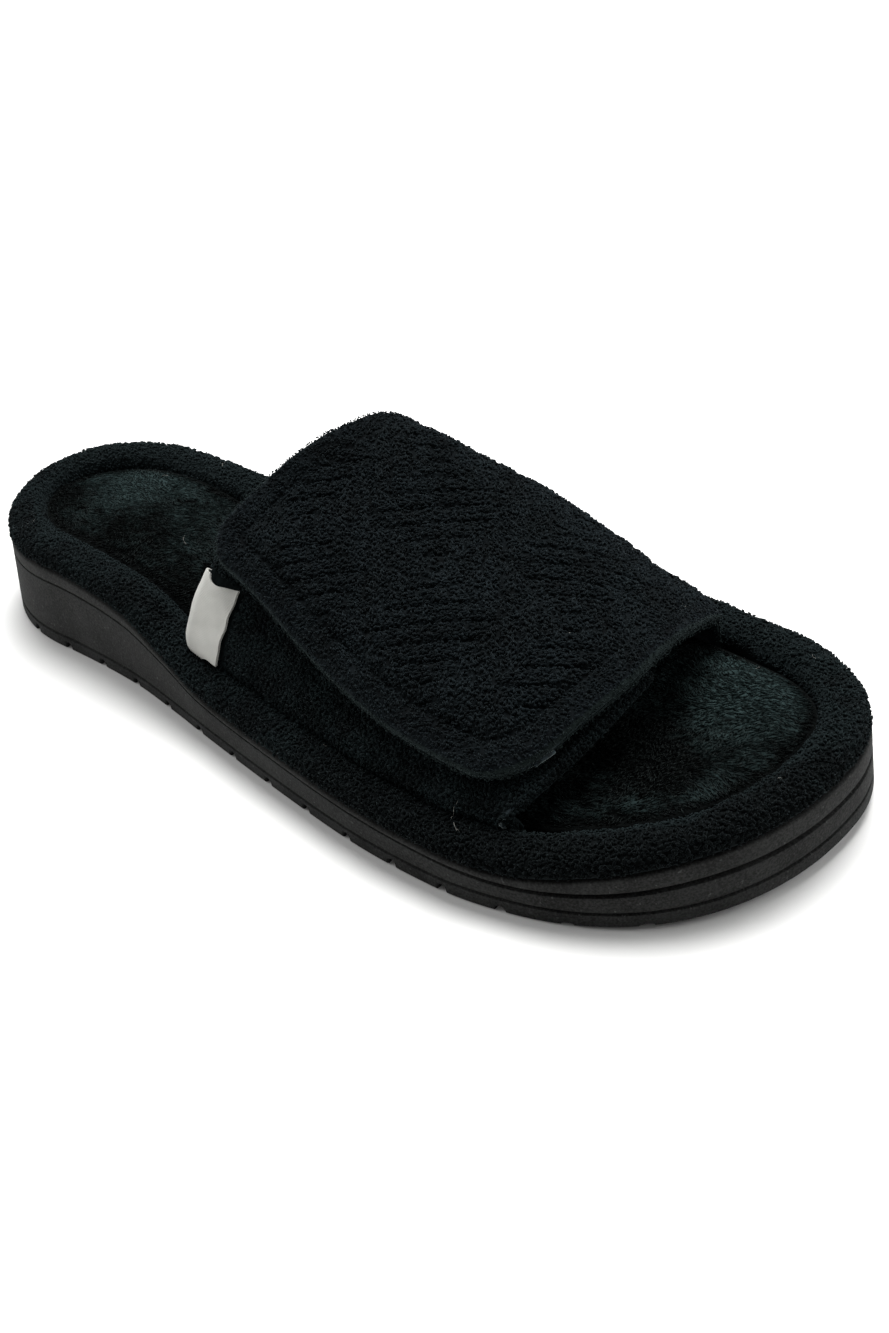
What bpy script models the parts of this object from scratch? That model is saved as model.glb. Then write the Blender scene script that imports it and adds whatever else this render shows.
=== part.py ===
"""Scuff slipper for the right foot: an open-toed, open-backed slide with an adjustable strap.

The slipper stands on its sole. +X points to the toe, +Y to the inner (medial) side of the foot
and +Z up. The origin is on the floor, at the centre of the sole's outline. Lengths are in metres.
"""

import math
from bisect import bisect_right
from collections import namedtuple

import bmesh
import bpy
from mathutils import Vector

# Sole: overall sizes and the rounding of its edges
SOLE_LENGTH = 0.295
SOLE_WIDTH = 0.1187
HEEL_HEIGHT = 0.0276
TOE_SPRING = 0.0032
TOE_OFFSET = 0.0070
HEEL_LEAN = 0.0038
EDGE_ROUND = 0.0009

# Ends of the sole, as shares of its length: rounding of heel and toe, where the toe turns to the
# medial side, and where it lifts. TOE_POWER is the power of the toe's superellipse.
HEEL_ROUND = 0.16
TOE_ROUND = 0.26
TOE_TURN = 0.20
TOE_LIFT = 0.182
TOE_POWER = 2.15

# Grooves moulded round the side of the sole, and across its tread
LOWER_GROOVE_HEIGHT = 0.0045
LOWER_GROOVE_WIDTH = 0.0011
LOWER_GROOVE_DEPTH = 0.0008
BUMPER_GROOVE_WIDTH = 0.0013
BUMPER_GROOVE_DEPTH = 0.0015
TREAD_FIRST = 0.0149
TREAD_PITCH = 0.0170
TREAD_RADIUS = 0.0016

# Padded terry rim round the footbed
RIM_WIDTH = 0.0125
RIM_RISE = 0.0062
RIM_SETBACK = 0.0006

# Insole
INSOLE_THICKNESS = 0.0065
INSOLE_CROWN = 0.0026
INSOLE_EDGE = 0.0012
INSOLE_ENDS = 0.20
TUCK_CLEAR = 0.0080
TUCK_RAMP = 0.0080

# Padded strap over the instep, and the side quarter that it closes on
STRAP_THICKNESS = 0.0054
QUARTER_THICKNESS = 0.0044
TUCK_THICKNESS = 0.0024
STRAP_REAR = 0.1085
STRAP_SKEW = 0.0190
STRAP_FRONT = 0.2465
FRONT_BOW = 0.0090
INSTEP_CLEARANCE = 0.0500
MIDDLE_CLEARANCE = 0.0393
TOE_CLEARANCE = 0.0239
FLAP_SETBACK = 0.0040
FLAP_REAR_SETBACK = 0.0010
FLAP_FRONT_CORNER = 0.0150
FLAP_REAR_CORNER = 0.0100
FLAP_LIFT = 0.0035

# Shares of the way over the foot: where the quarter ends under the flap, where the walls reach their
# full thickness above the seam, where the lap gap is full, and where the flap starts to be free.
# LIFT_REACH is the share of the strap's length that the flap's rear lift fades over.
QUARTER_TOP = 0.52
SEAM_TAPER = 0.14
LAP_RAMP = 0.10
FREE_SPAN = 0.50
FREE_RAMP = 0.30
LIFT_REACH = 0.50
EDGE_LEFT = 0.12

# Blank woven tag, folded round the rear edge of the quarter
TAG_THICKNESS = 0.0007
TAG_WIDTH = 0.0150
TAG_LENGTH = 0.0220
TAG_START = 0.0060
TAG_INNER_WIDTH = 0.0090
TAG_STAND = 0.0005

# Clearance between pieces that touch, and between the two padded layers of the closure
FIT = 0.0003
LAP_GAP = 0.0006

# Facets
RING_STEPS = 104
STRAP_STEPS = 12
TUBE_STEPS = 12
ARCH_STEPS = 22
TAG_STEPS = 8
TAG_BENDS = 6
CROWN_SHARES = (0.12, 0.3, 0.5, 0.7, 0.88)

LATERAL = -1
MEDIAL = 1

SoleRow = namedtuple("SoleRow", "station lateral medial lean top lip groove rim insole")
# station: share of SOLE_LENGTH from the heel. lateral and medial: half widths before the ends are
# rounded, as shares of SOLE_WIDTH. lean: share of HEEL_LEAN by which the side leans in. top and lip:
# the deck and the band over the bumper groove, as shares of HEEL_HEIGHT. groove: share of the bumper
# groove's width and depth. rim and insole: shares of RIM_RISE and INSOLE_THICKNESS.
SOLE_ROWS = tuple(
    SoleRow(*row)
    for row in (
        (0.00, 0.300, 0.315, 1.00, 0.930, 0.150, 0.60, 0.95, 0.40),
        (0.09, 0.300, 0.315, 0.80, 0.960, 0.150, 0.60, 0.95, 0.40),
        (0.18, 0.299, 0.314, 0.50, 0.995, 0.150, 0.60, 0.95, 0.40),
        (0.28, 0.318, 0.314, 0.25, 0.900, 0.115, 0.60, 0.95, 0.40),
        (0.35, 0.350, 0.320, 0.10, 0.700, 0.065, 0.60, 0.95, 0.42),
        (0.41, 0.382, 0.336, 0.04, 0.525, 0.054, 0.60, 0.95, 0.46),
        (0.52, 0.436, 0.400, 0.02, 0.483, 0.054, 0.60, 0.95, 0.50),
        (0.64, 0.485, 0.478, 0.02, 0.455, 0.054, 0.60, 0.95, 0.50),
        (0.73, 0.499, 0.500, 0.02, 0.430, 0.060, 0.70, 0.95, 0.52),
        (0.81, 0.492, 0.497, 0.02, 0.424, 0.091, 1.00, 1.00, 0.70),
        (0.89, 0.486, 0.493, 0.02, 0.569, 0.177, 1.20, 1.05, 0.92),
        (0.95, 0.483, 0.491, 0.02, 0.687, 0.210, 1.30, 1.05, 0.98),
        (1.00, 0.480, 0.490, 0.02, 0.746, 0.225, 1.30, 1.05, 0.98),
    )
)

RimRow = namedtuple("RimRow", "across up")
# Section of the rim. across: from its outer to its inner side. up: share of its rise.
RIM_ROWS = tuple(
    RimRow(*row)
    for row in (
        (0.050, 0.00),
        (0.000, 0.26),
        (0.060, 0.62),
        (0.240, 0.90),
        (0.540, 1.00),
        (0.820, 0.92),
        (0.960, 0.70),
        (1.000, 0.40),
        (1.000, 0.00),
    )
)

ArchRow = namedtuple("ArchRow", "span rear_side rear_rise mid_side mid_rise toe_side toe_rise")
# The strap's inner surface. span: share of the way over the foot from the lateral seam. side: place
# between the seams, from -1 lateral to 1 medial. rise: share of the clearance over the deck.
ARCH_ROWS = tuple(
    ArchRow(*row)
    for row in (
        (0.000, -1.000, 0.080, -1.000, 0.107, -1.000, 0.213),
        (0.031, -1.100, 0.145, -1.067, 0.180, -1.068, 0.318),
        (0.071, -1.085, 0.240, -1.036, 0.305, -1.023, 0.460),
        (0.133, -0.945, 0.380, -0.904, 0.454, -0.886, 0.600),
        (0.214, -0.700, 0.535, -0.700, 0.610, -0.680, 0.730),
        (0.309, -0.400, 0.667, -0.437, 0.752, -0.430, 0.865),
        (0.423, -0.010, 0.790, -0.102, 0.871, -0.158, 0.975),
        (0.541, 0.410, 0.895, 0.257, 0.958, 0.138, 1.010),
        (0.641, 0.800, 0.970, 0.570, 1.000, 0.388, 0.945),
        (0.707, 1.095, 0.995, 0.772, 0.975, 0.593, 0.805),
        (0.766, 1.250, 0.905, 0.916, 0.850, 0.752, 0.670),
        (0.844, 1.270, 0.590, 1.000, 0.615, 0.877, 0.520),
        (0.933, 1.180, 0.250, 1.048, 0.330, 0.968, 0.370),
        (1.000, 1.000, 0.110, 1.000, 0.119, 1.000, 0.220),
    )
)

FlapRow = namedtuple("FlapRow", "along span")
# Lower edge of the flap. along: share of the strap from its rear edge. span: as in ARCH_ROWS.
FLAP_ROWS = tuple(
    FlapRow(*row)
    for row in ((0.00, 0.240), (0.17, 0.220), (0.35, 0.175), (0.50, 0.145), (0.70, 0.120), (1.00, 0.110))
)

Finish = namedtuple("Finish", "colour roughness metallic")
RUBBER = Finish((0.030, 0.031, 0.033, 1.0), 0.62, 0.0)
TERRY = Finish((0.006, 0.008, 0.010, 1.0), 0.95, 0.0)
VELOUR = Finish((0.010, 0.013, 0.014, 1.0), 0.85, 0.0)
WOVEN = Finish((0.560, 0.560, 0.530, 1.0), 0.75, 0.0)


def smooth_step(value):
    """Ease from 0 to 1."""
    value = min(max(value, 0.0), 1.0)
    return value * value * (3.0 - 2.0 * value)


def mix(low, high, share):
    """Value between two others."""
    return low + (high - low) * share


def read(rows, column, place):
    """Read a table's column at a place, on a smooth curve through its rows."""
    places = [row[0] for row in rows]
    values = [getattr(row, column) for row in rows]
    last = len(rows) - 1
    place = min(max(place, places[0]), places[last])
    low = min(bisect_right(places, place), last) - 1
    gap = places[low + 1] - places[low]

    def slope(index):
        before = max(index - 1, 0)
        after = min(index + 1, last)
        return (values[after] - values[before]) / (places[after] - places[before])

    t = (place - places[low]) / gap
    start = values[low] * (1 + 2 * t) * (1 - t) ** 2 + slope(low) * gap * t * (1 - t) ** 2
    end = values[low + 1] * t * t * (3 - 2 * t) - slope(low + 1) * gap * t * t * (1 - t)
    return start + end


def station_of(x):
    """Share of the sole's length at a place along X."""
    return min(max(x / SOLE_LENGTH + 0.5, 0.0), 1.0)


def deck_height(x):
    """Height of the sole's deck, which carries rim and insole."""
    return HEEL_HEIGHT * read(SOLE_ROWS, "top", station_of(x))


def lean(x):
    """How far the sole's side has leaned in at the deck."""
    return HEEL_LEAN * read(SOLE_ROWS, "lean", station_of(x))


def floor_height(x):
    """Height of the tread: on the floor, and lifted at the toe."""
    lift = max((station_of(x) - 1.0 + TOE_LIFT) / TOE_LIFT, 0.0)
    return TOE_SPRING * lift * lift


def outline(angle):
    """Point of the sole's outline. 0 is the heel, pi the toe, and the lateral side comes first."""
    angle = angle % (2.0 * math.pi)
    station = 0.5 * (1.0 - math.cos(angle))
    spread = 1.0
    if station < HEEL_ROUND:
        spread = math.sqrt(max(1.0 - (1.0 - station / HEEL_ROUND) ** 2, 0.0))
    if station > 1.0 - TOE_ROUND:
        reach = max(1.0 - (1.0 - station) / TOE_ROUND, 0.0)
        spread = max(1.0 - reach**TOE_POWER, 0.0) ** (1.0 / TOE_POWER)
    centre = TOE_OFFSET * max((station - 1.0 + TOE_TURN) / TOE_TURN, 0.0) ** 2
    side = LATERAL if angle < math.pi else MEDIAL
    column = "lateral" if side == LATERAL else "medial"
    edge = side * SOLE_WIDTH * read(SOLE_ROWS, column, station)
    return Vector(((station - 0.5) * SOLE_LENGTH, mix(centre, edge, spread)))


def inset(angle, depth):
    """Point at a depth inside the outline."""
    nudge = math.pi / RING_STEPS
    along = (outline(angle + nudge) - outline(angle - nudge)).normalized()
    return outline(angle) + depth * Vector((-along.y, along.x))


def side_angle(x, side):
    """Angle of the outline's point at a place along X, on one side."""
    angle = math.acos(1.0 - 2.0 * station_of(x))
    return angle if side == LATERAL else 2.0 * math.pi - angle


def ring_angles():
    """Angles of the rings that sole, rim and insole share."""
    return [2.0 * math.pi * step / RING_STEPS for step in range(RING_STEPS)]


class Skin:
    """Vertices and faces of one solid that is lofted by hand."""

    def __init__(self):
        self.mesh = bmesh.new()

    def row(self, points):
        """Add a row of vertices."""
        return [self.mesh.verts.new(point) for point in points]

    def face(self, *corners):
        """Add a face, without the corners that repeat."""
        kept = list(dict.fromkeys(corners))
        if len(kept) > 2:
            self.mesh.faces.new(kept)

    def bridge(self, first, second, closed):
        """Join two rows with quads."""
        count = len(first)
        for index in range(count if closed else count - 1):
            after = (index + 1) % count
            self.face(first[index], first[after], second[after], second[index])

    def deck(self, ring, shares, height, down=False):
        """Close a ring with rows that run across it, through points at the given shares."""
        count = len(ring)
        rows = []
        for index in range(count // 2 + 1):
            near = ring[index]
            far = ring[-index]
            row = [near]
            if near is not far and index < count // 2:
                for share in shares:
                    place = near.co.lerp(far.co, share)
                    row.append(self.mesh.verts.new((place.x, place.y, height(place.x, share))))
                row.append(far)
            rows.append(row)
        for before, after in zip(rows, rows[1:]):
            if len(before) == 1 or len(after) == 1:
                tip, full = (before, after) if len(before) == 1 else (after, before)
                for one, two in zip(full, full[1:]):
                    flip = (tip is before) != down
                    corners = (tip[0], two, one) if flip else (tip[0], one, two)
                    self.face(*corners)
                continue
            for step in range(len(before) - 1):
                corners = (before[step], after[step], after[step + 1], before[step + 1])
                self.face(*(reversed(corners) if down else corners))

    def solid(self, name, finish, collection):
        """Make the object, smooth but for its sharp edges."""
        bmesh.ops.recalc_face_normals(self.mesh, faces=self.mesh.faces)
        mesh = bpy.data.meshes.new(name)
        self.mesh.to_mesh(mesh)
        self.mesh.free()
        mesh.shade_smooth()
        mesh.set_sharp_from_angle(angle=math.radians(40))
        mesh.materials.append(material(name, finish))
        part = bpy.data.objects.new(name, mesh)
        collection.objects.link(part)
        return part


def material(name, finish):
    """Principled material of one piece."""
    made = bpy.data.materials.new(name)
    made.use_nodes = True
    shader = made.node_tree.nodes["Principled BSDF"]
    shader.inputs["Base Color"].default_value = finish.colour
    shader.inputs["Roughness"].default_value = finish.roughness
    shader.inputs["Metallic"].default_value = finish.metallic
    return made


def ring_row(skin, depth, height):
    """Add a ring at a depth inside the deck's outline. Depth and height are functions of X."""
    points = []
    for angle in ring_angles():
        x = outline(angle).x
        place = inset(angle, lean(x) + depth(x))
        points.append((place.x, place.y, height(place.x)))
    return skin.row(points)


def side_profile(x):
    """Outer side of the sole at a place along X: depths and heights, from the tread to the deck."""
    station = station_of(x)
    floor = floor_height(x)
    deck = deck_height(x)
    low = floor + LOWER_GROOVE_HEIGHT
    bumper = deck - HEEL_HEIGHT * read(SOLE_ROWS, "lip", station)
    size = read(SOLE_ROWS, "groove", station)
    half_low = 0.5 * LOWER_GROOVE_WIDTH
    half_high = 0.5 * BUMPER_GROOVE_WIDTH * size
    depth = BUMPER_GROOVE_DEPTH * size

    def draft(height):
        return lean(x) * (height - floor) / (deck - floor)

    return (
        (EDGE_ROUND, floor),
        (0.3 * EDGE_ROUND, floor + 0.3 * EDGE_ROUND),
        (draft(floor + EDGE_ROUND), floor + EDGE_ROUND),
        (draft(low), low - half_low),
        (draft(low) + LOWER_GROOVE_DEPTH, low),
        (draft(low), low + half_low),
        (draft(bumper), bumper - half_high),
        (draft(bumper) + depth, bumper - 0.5 * half_high),
        (draft(bumper) + depth, bumper + 0.5 * half_high),
        (draft(bumper), bumper + half_high),
        (lean(x), deck - 0.6 * EDGE_ROUND),
        (lean(x) + 0.2 * EDGE_ROUND, deck - 0.2 * EDGE_ROUND),
        (lean(x) + 0.6 * EDGE_ROUND, deck),
    )


def make_outsole(collection, cutters):
    """Rubber unit sole: a wedge with a toe bumper, side grooves and a cross-grooved tread."""
    skin = Skin()
    angles = ring_angles()
    profiles = [side_profile(outline(angle).x) for angle in angles]
    rings = []
    for level in range(len(profiles[0])):
        points = []
        for angle, profile in zip(angles, profiles):
            depth, height = profile[level]
            place = inset(angle, depth)
            points.append((place.x, place.y, height))
        rings.append(skin.row(points))
    for lower, upper in zip(rings, rings[1:]):
        skin.bridge(lower, upper, closed=True)
    skin.deck(rings[0], (), None, down=True)
    skin.deck(rings[-1], (), None)
    sole = skin.solid("outsole", RUBBER, collection)
    cut_tread(sole, cutters)
    return sole


def cut_tread(sole, cutters):
    """Cut the half-round grooves that cross the tread."""
    x = TREAD_FIRST - 0.5 * SOLE_LENGTH
    while x < 0.5 * SOLE_LENGTH - TREAD_PITCH:
        bpy.ops.mesh.primitive_cylinder_add(
            vertices=TUBE_STEPS,
            radius=TREAD_RADIUS,
            depth=1.2 * SOLE_WIDTH,
            location=(x, 0.0, floor_height(x)),
            rotation=(math.pi / 2.0, 0.0, 0.0),
        )
        cutter = bpy.context.object
        cutter.name = "tread_cutter"
        cutter.hide_render = True
        cutter.display_type = "WIRE"
        for other in list(cutter.users_collection):
            other.objects.unlink(cutter)
        cutters.objects.link(cutter)
        cut = sole.modifiers.new("tread groove", "BOOLEAN")
        cut.operation = "DIFFERENCE"
        cut.object = cutter
        x += TREAD_PITCH


def make_rim(collection):
    """Terry-covered foam rim: a D-shaped roll round the edge of the footbed."""
    skin = Skin()
    rings = []
    for across, up in RIM_ROWS:

        def height(x, up=up):
            return deck_height(x) + FIT + up * RIM_RISE * read(SOLE_ROWS, "rim", station_of(x))

        def depth(x, across=across):
            return mix(RIM_SETBACK, RIM_WIDTH, across)

        rings.append(ring_row(skin, depth, height))
    for lower, upper in zip(rings, rings[1:] + rings[:1]):
        skin.bridge(lower, upper, closed=True)
    return skin.solid("footbed_rim", TERRY, collection)


def tuck_share(x):
    """How far the insole makes room for the strap's margins: 1 beside them, 0 elsewhere."""
    rear = STRAP_REAR - 0.5 * SOLE_LENGTH - TUCK_CLEAR - TUCK_RAMP
    front = STRAP_FRONT - 0.5 * SOLE_LENGTH + TUCK_CLEAR + TUCK_RAMP
    return smooth_step((x - rear) / TUCK_RAMP) * smooth_step((front - x) / TUCK_RAMP)


def make_insole(collection):
    """Velour-covered insole pad inside the rim, crowned across."""
    skin = Skin()

    def edge(x):
        return RIM_WIDTH + FIT + tuck_share(x) * (TUCK_THICKNESS + FIT)

    def soft_edge(x):
        return edge(x) + INSOLE_EDGE

    def bottom(x):
        return deck_height(x) + FIT

    def top(x):
        return bottom(x) + INSOLE_THICKNESS * read(SOLE_ROWS, "insole", station_of(x))

    def shoulder(x):
        return top(x) - 0.6 * INSOLE_EDGE

    def crowned(x, share):
        station = station_of(x)
        ends = smooth_step(station / INSOLE_ENDS) * smooth_step((1.0 - station) / INSOLE_ENDS)
        return top(x) + INSOLE_CROWN * (1.0 - (2.0 * share - 1.0) ** 2) * ends

    rings = [
        ring_row(skin, edge, bottom),
        ring_row(skin, edge, shoulder),
        ring_row(skin, soft_edge, top),
    ]
    for lower, upper in zip(rings, rings[1:]):
        skin.bridge(lower, upper, closed=True)
    skin.deck(rings[0], (), None, down=True)
    skin.deck(rings[-1], CROWN_SHARES, crowned)
    return skin.solid("insole", VELOUR, collection)


def three_way(rear, middle, toe, along):
    """Curve through the strap's rear, middle and front values."""
    return (
        rear * (1.0 - along) * (1.0 - 2.0 * along)
        + middle * 4.0 * along * (1.0 - along)
        + toe * along * (2.0 * along - 1.0)
    )


def strap_x(along, side):
    """Place along X on the strap: its rear edge runs forward to the medial side, its front is bowed."""
    rear = STRAP_REAR + STRAP_SKEW * (0.5 * (side + 1.0)) ** 2
    front = STRAP_FRONT - FRONT_BOW * side * side
    return mix(rear, front, along) - 0.5 * SOLE_LENGTH


def seam(along, side, depth):
    """Point of a strap's margin in the seam, at a depth inside the deck's outline."""
    x = strap_x(along, side)
    return inset(side_angle(x, side), lean(x) + depth)


def arch(along, span):
    """Point of the strap's inner surface, over the foot from the lateral to the medial seam."""
    side = three_way(*(read(ARCH_ROWS, name, span) for name in ("rear_side", "mid_side", "toe_side")), along)
    rise = three_way(*(read(ARCH_ROWS, name, span) for name in ("rear_rise", "mid_rise", "toe_rise")), along)
    clearance = three_way(INSTEP_CLEARANCE, MIDDLE_CLEARANCE, TOE_CLEARANCE, along)
    lateral = seam(along, LATERAL, RIM_WIDTH)
    medial = seam(along, MEDIAL, RIM_WIDTH + FIT + TUCK_THICKNESS)
    over = 0.5 * (side + 1.0)
    straight = mix(strap_x(along, LATERAL), strap_x(along, MEDIAL), over)
    x = mix(lateral.x, medial.x, over) + strap_x(along, side) - straight
    return Vector((x, mix(lateral.y, medial.y, over), deck_height(x) + clearance * rise))


def arch_normal(along, span):
    """Outward direction of the strap's surface."""
    nudge = 0.01
    forward = arch(along + nudge, span) - arch(along - nudge, span)
    over = arch(along, min(span + nudge, 1.0)) - arch(along, max(span - nudge, 0.0))
    return forward.cross(over).normalized()


def wall(full, span):
    """Thickness of a padded wall, which thins to its margin in the seam."""
    room = min(span, 1.0 - span)
    return mix(TUCK_THICKNESS, full, smooth_step(room / SEAM_TAPER))


def edge_round(distance, half):
    """Share of the wall that is left at a distance from a turned edge."""
    if distance >= half:
        return 1.0
    return math.sqrt(max(1.0 - (1.0 - distance / half) ** 2, EDGE_LEFT))


def edge_steps(count, lead, trail, width, half):
    """Shares from 0 to 1, closer together at the edges that are rounded."""
    turned = half / width
    near = 0.25 * turned
    steps = [index / count for index in range(count + 1)]
    inner = [step for step in steps if 1.3 * turned < step < 1.0 - 1.3 * turned]
    start = [0.0, near, turned] if lead else [0.0]
    end = [1.0 - turned, 1.0 - near, 1.0] if trail else [1.0]
    return start + inner + end


def padded_sheet(skin, columns):
    """Close a wall whose columns hold the inner and outer points of each row."""
    inner = [skin.row([pair[0] for pair in column]) for column in columns]
    outer = [skin.row([pair[1] for pair in column]) for column in columns]
    for rows in (inner, outer):
        for before, after in zip(rows, rows[1:]):
            skin.bridge(before, after, closed=False)
    skin.bridge(inner[0], outer[0], closed=False)
    skin.bridge(inner[-1], outer[-1], closed=False)
    skin.bridge([row[0] for row in inner], [row[0] for row in outer], closed=False)
    skin.bridge([row[-1] for row in inner], [row[-1] for row in outer], closed=False)


def flap_span(along):
    """Lower edge of the flap, with its two corners rounded."""
    corner = FLAP_REAR_CORNER if along < 0.5 else FLAP_FRONT_CORNER
    length = STRAP_FRONT - STRAP_REAR
    reach = max(1.0 - min(along, 1.0 - along) * length / corner, 0.0)
    lift = corner / arch_length(0.5) * (1.0 - math.sqrt(max(1.0 - reach * reach, 0.0)))
    return read(FLAP_ROWS, "span", along) + lift


def arch_length(along):
    """Length over the foot, from seam to seam."""
    points = [arch(along, step / ARCH_STEPS) for step in range(ARCH_STEPS + 1)]
    return sum((after - before).length for before, after in zip(points, points[1:]))


def make_strap(collection):
    """Padded strap: from the medial seam over the instep to the free flap on the lateral side."""
    skin = Skin()
    half = 0.5 * STRAP_THICKNESS
    length = STRAP_FRONT - STRAP_REAR
    reach = arch_length(0.5)
    columns = []
    for along in edge_steps(STRAP_STEPS, True, True, length, half):
        start = flap_span(along)
        column = []
        for share in edge_steps(ARCH_STEPS, True, False, reach * (1.0 - start), half):
            span = mix(start, 1.0, share)
            free_side = smooth_step((FREE_SPAN - span) / FREE_RAMP)
            rear = FLAP_REAR_SETBACK / length * free_side
            place = mix(rear, 1.0 - FLAP_SETBACK / length * free_side, along)
            lift = FLAP_LIFT * free_side * (1.0 - smooth_step(along / LIFT_REACH))
            edge = min(along * length, (1.0 - along) * length)
            free = edge_round(edge, half) * edge_round((span - start) * reach, half)
            full = wall(STRAP_THICKNESS, span) if span > FREE_SPAN else STRAP_THICKNESS
            normal = arch_normal(place, span)
            middle = arch(place, span) + normal * (lift + 0.5 * full)
            thick = 0.5 * full * free
            column.append((middle - normal * thick, middle + normal * thick))
        foot = seam(along, MEDIAL, RIM_WIDTH + FIT + TUCK_THICKNESS)
        margin = seam(along, MEDIAL, RIM_WIDTH + FIT)
        column.append(
            (
                Vector((foot.x, foot.y, deck_height(foot.x) + FIT)),
                Vector((margin.x, margin.y, deck_height(margin.x) + FIT)),
            )
        )
        columns.append(column)
    padded_sheet(skin, columns)
    return skin.solid("upper_strap", TERRY, collection)


def quarter_middle(along, span):
    """Middle of the quarter's wall and its outward direction."""
    normal = arch_normal(along, span)
    gap = mix(FIT, LAP_GAP, smooth_step(span / LAP_RAMP))
    return arch(along, span) - normal * (gap + 0.5 * wall(QUARTER_THICKNESS, span)), normal


def make_quarter(collection):
    """Padded side quarter: from the lateral seam up under the flap."""
    skin = Skin()
    half = 0.5 * QUARTER_THICKNESS
    length = STRAP_FRONT - STRAP_REAR
    reach = arch_length(0.5)
    columns = []
    for along in edge_steps(STRAP_STEPS, True, True, length, half):
        foot = seam(along, LATERAL, RIM_WIDTH + FIT + TUCK_THICKNESS)
        margin = seam(along, LATERAL, RIM_WIDTH + FIT)
        column = [
            (
                Vector((foot.x, foot.y, deck_height(foot.x) + FIT)),
                Vector((margin.x, margin.y, deck_height(margin.x) + FIT)),
            )
        ]
        for share in edge_steps(ARCH_STEPS // 2, False, True, reach * QUARTER_TOP, half):
            span = QUARTER_TOP * share
            edge = min(along * length, (1.0 - along) * length)
            free = edge_round(edge, half) * edge_round((QUARTER_TOP - span) * reach, half)
            middle, normal = quarter_middle(along, span)
            thick = 0.5 * wall(QUARTER_THICKNESS, span) * free
            column.append((middle - normal * thick, middle + normal * thick))
        columns.append(column)
    padded_sheet(skin, columns)
    return skin.solid("side_quarter", TERRY, collection)


def make_tag(collection):
    """Blank woven tag, folded round the quarter's rear edge and lying on both its faces."""
    skin = Skin()
    length = STRAP_FRONT - STRAP_REAR
    half = 0.5 * QUARTER_THICKNESS
    lift = half + TAG_STAND + 0.5 * TAG_THICKNESS
    low = TAG_START / arch_length(0.0)
    high = low + TAG_LENGTH / arch_length(0.0)
    path = [(1.0, 0.0, TAG_WIDTH), (1.0, 0.0, 0.5 * (TAG_WIDTH + half)), (1.0, 0.0, half)]
    for bend in range(1, TAG_BENDS):
        turn = math.pi * bend / TAG_BENDS
        path.append((math.cos(turn), math.sin(turn), half))
    path += [(-1.0, 0.0, half), (-1.0, 0.0, TAG_INNER_WIDTH)]
    columns = []
    for out, back, distance in path:
        column = []
        for step in range(TAG_STEPS + 1):
            span = mix(low, high, step / TAG_STEPS)
            middle, normal = quarter_middle(distance / length, span)
            edge = quarter_middle(0.0, span)[0]
            rearward = (edge - quarter_middle(2.0 * half / length, span)[0]).normalized()
            direction = (normal * out + rearward * back).normalized()
            near = middle + direction * (lift - 0.5 * TAG_THICKNESS)
            column.append((near, near + direction * TAG_THICKNESS))
        columns.append(column)
    padded_sheet(skin, columns)
    return skin.solid("side_tag", WOVEN, collection)


def main():
    """Clear the scene and build the slipper's pieces."""
    for old in list(bpy.data.objects):
        bpy.data.objects.remove(old, do_unlink=True)
    slipper = bpy.data.collections.new("scuff_slipper")
    cutters = bpy.data.collections.new("cutters")
    for collection in (slipper, cutters):
        bpy.context.scene.collection.children.link(collection)
    make_outsole(slipper, cutters)
    make_rim(slipper)
    make_insole(slipper)
    make_strap(slipper)
    make_quarter(slipper)
    make_tag(slipper)


main()
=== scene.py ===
"""Scuff slipper: the looks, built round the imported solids.

Lengths are in metres, in the frame of the solids: +X to the toe, +Y to the inner side, +Z up.
The sole, rim, insole, strap, quarter and tag are built again from the solids' own sizes, finely
enough for the pile of the terry, the nap of the velour and the mouldings of the rubber.
"""

import itertools
import math
from collections import namedtuple

import bmesh
import bpy
import numpy as np
from bpy.props import FloatProperty, FloatVectorProperty, IntProperty, PointerProperty
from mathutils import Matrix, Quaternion, Vector
from mathutils.bvhtree import BVHTree
from mathutils.kdtree import KDTree


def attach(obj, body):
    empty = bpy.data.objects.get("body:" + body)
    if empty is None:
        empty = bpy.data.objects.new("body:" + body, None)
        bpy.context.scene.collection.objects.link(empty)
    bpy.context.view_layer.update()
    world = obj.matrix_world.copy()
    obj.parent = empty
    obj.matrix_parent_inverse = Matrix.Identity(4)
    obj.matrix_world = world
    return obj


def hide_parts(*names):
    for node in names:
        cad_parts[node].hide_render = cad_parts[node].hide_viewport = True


bl_info = {
    "name": "Scuff slipper",
    "version": (1, 0, 0),
    "blender": (4, 5, 0),
    "location": "View3D > Sidebar > Slipper",
    "description": "Dresses the solids of a terry scuff slipper",
    "category": "Object",
}

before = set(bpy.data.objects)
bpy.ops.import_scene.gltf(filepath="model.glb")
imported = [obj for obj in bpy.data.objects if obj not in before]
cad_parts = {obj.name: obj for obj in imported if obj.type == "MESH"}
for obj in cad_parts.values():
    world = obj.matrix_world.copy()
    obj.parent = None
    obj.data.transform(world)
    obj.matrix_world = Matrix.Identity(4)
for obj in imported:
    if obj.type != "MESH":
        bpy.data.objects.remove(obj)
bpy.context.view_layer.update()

# Sizes of the solids, repeated so that each piece keeps the form of the solid that it stands for
SOLE_LENGTH = 0.295
SOLE_WIDTH = 0.1187
HEEL_HEIGHT = 0.0276
TOE_SPRING = 0.0032
TOE_OFFSET = 0.0070
HEEL_LEAN = 0.0038
EDGE_ROUND = 0.0009
HEEL_ROUND = 0.16
TOE_ROUND = 0.26
TOE_TURN = 0.20
TOE_LIFT = 0.182
TOE_POWER = 2.15
LOWER_GROOVE_HEIGHT = 0.0045
LOWER_GROOVE_WIDTH = 0.0011
LOWER_GROOVE_DEPTH = 0.0008
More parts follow.
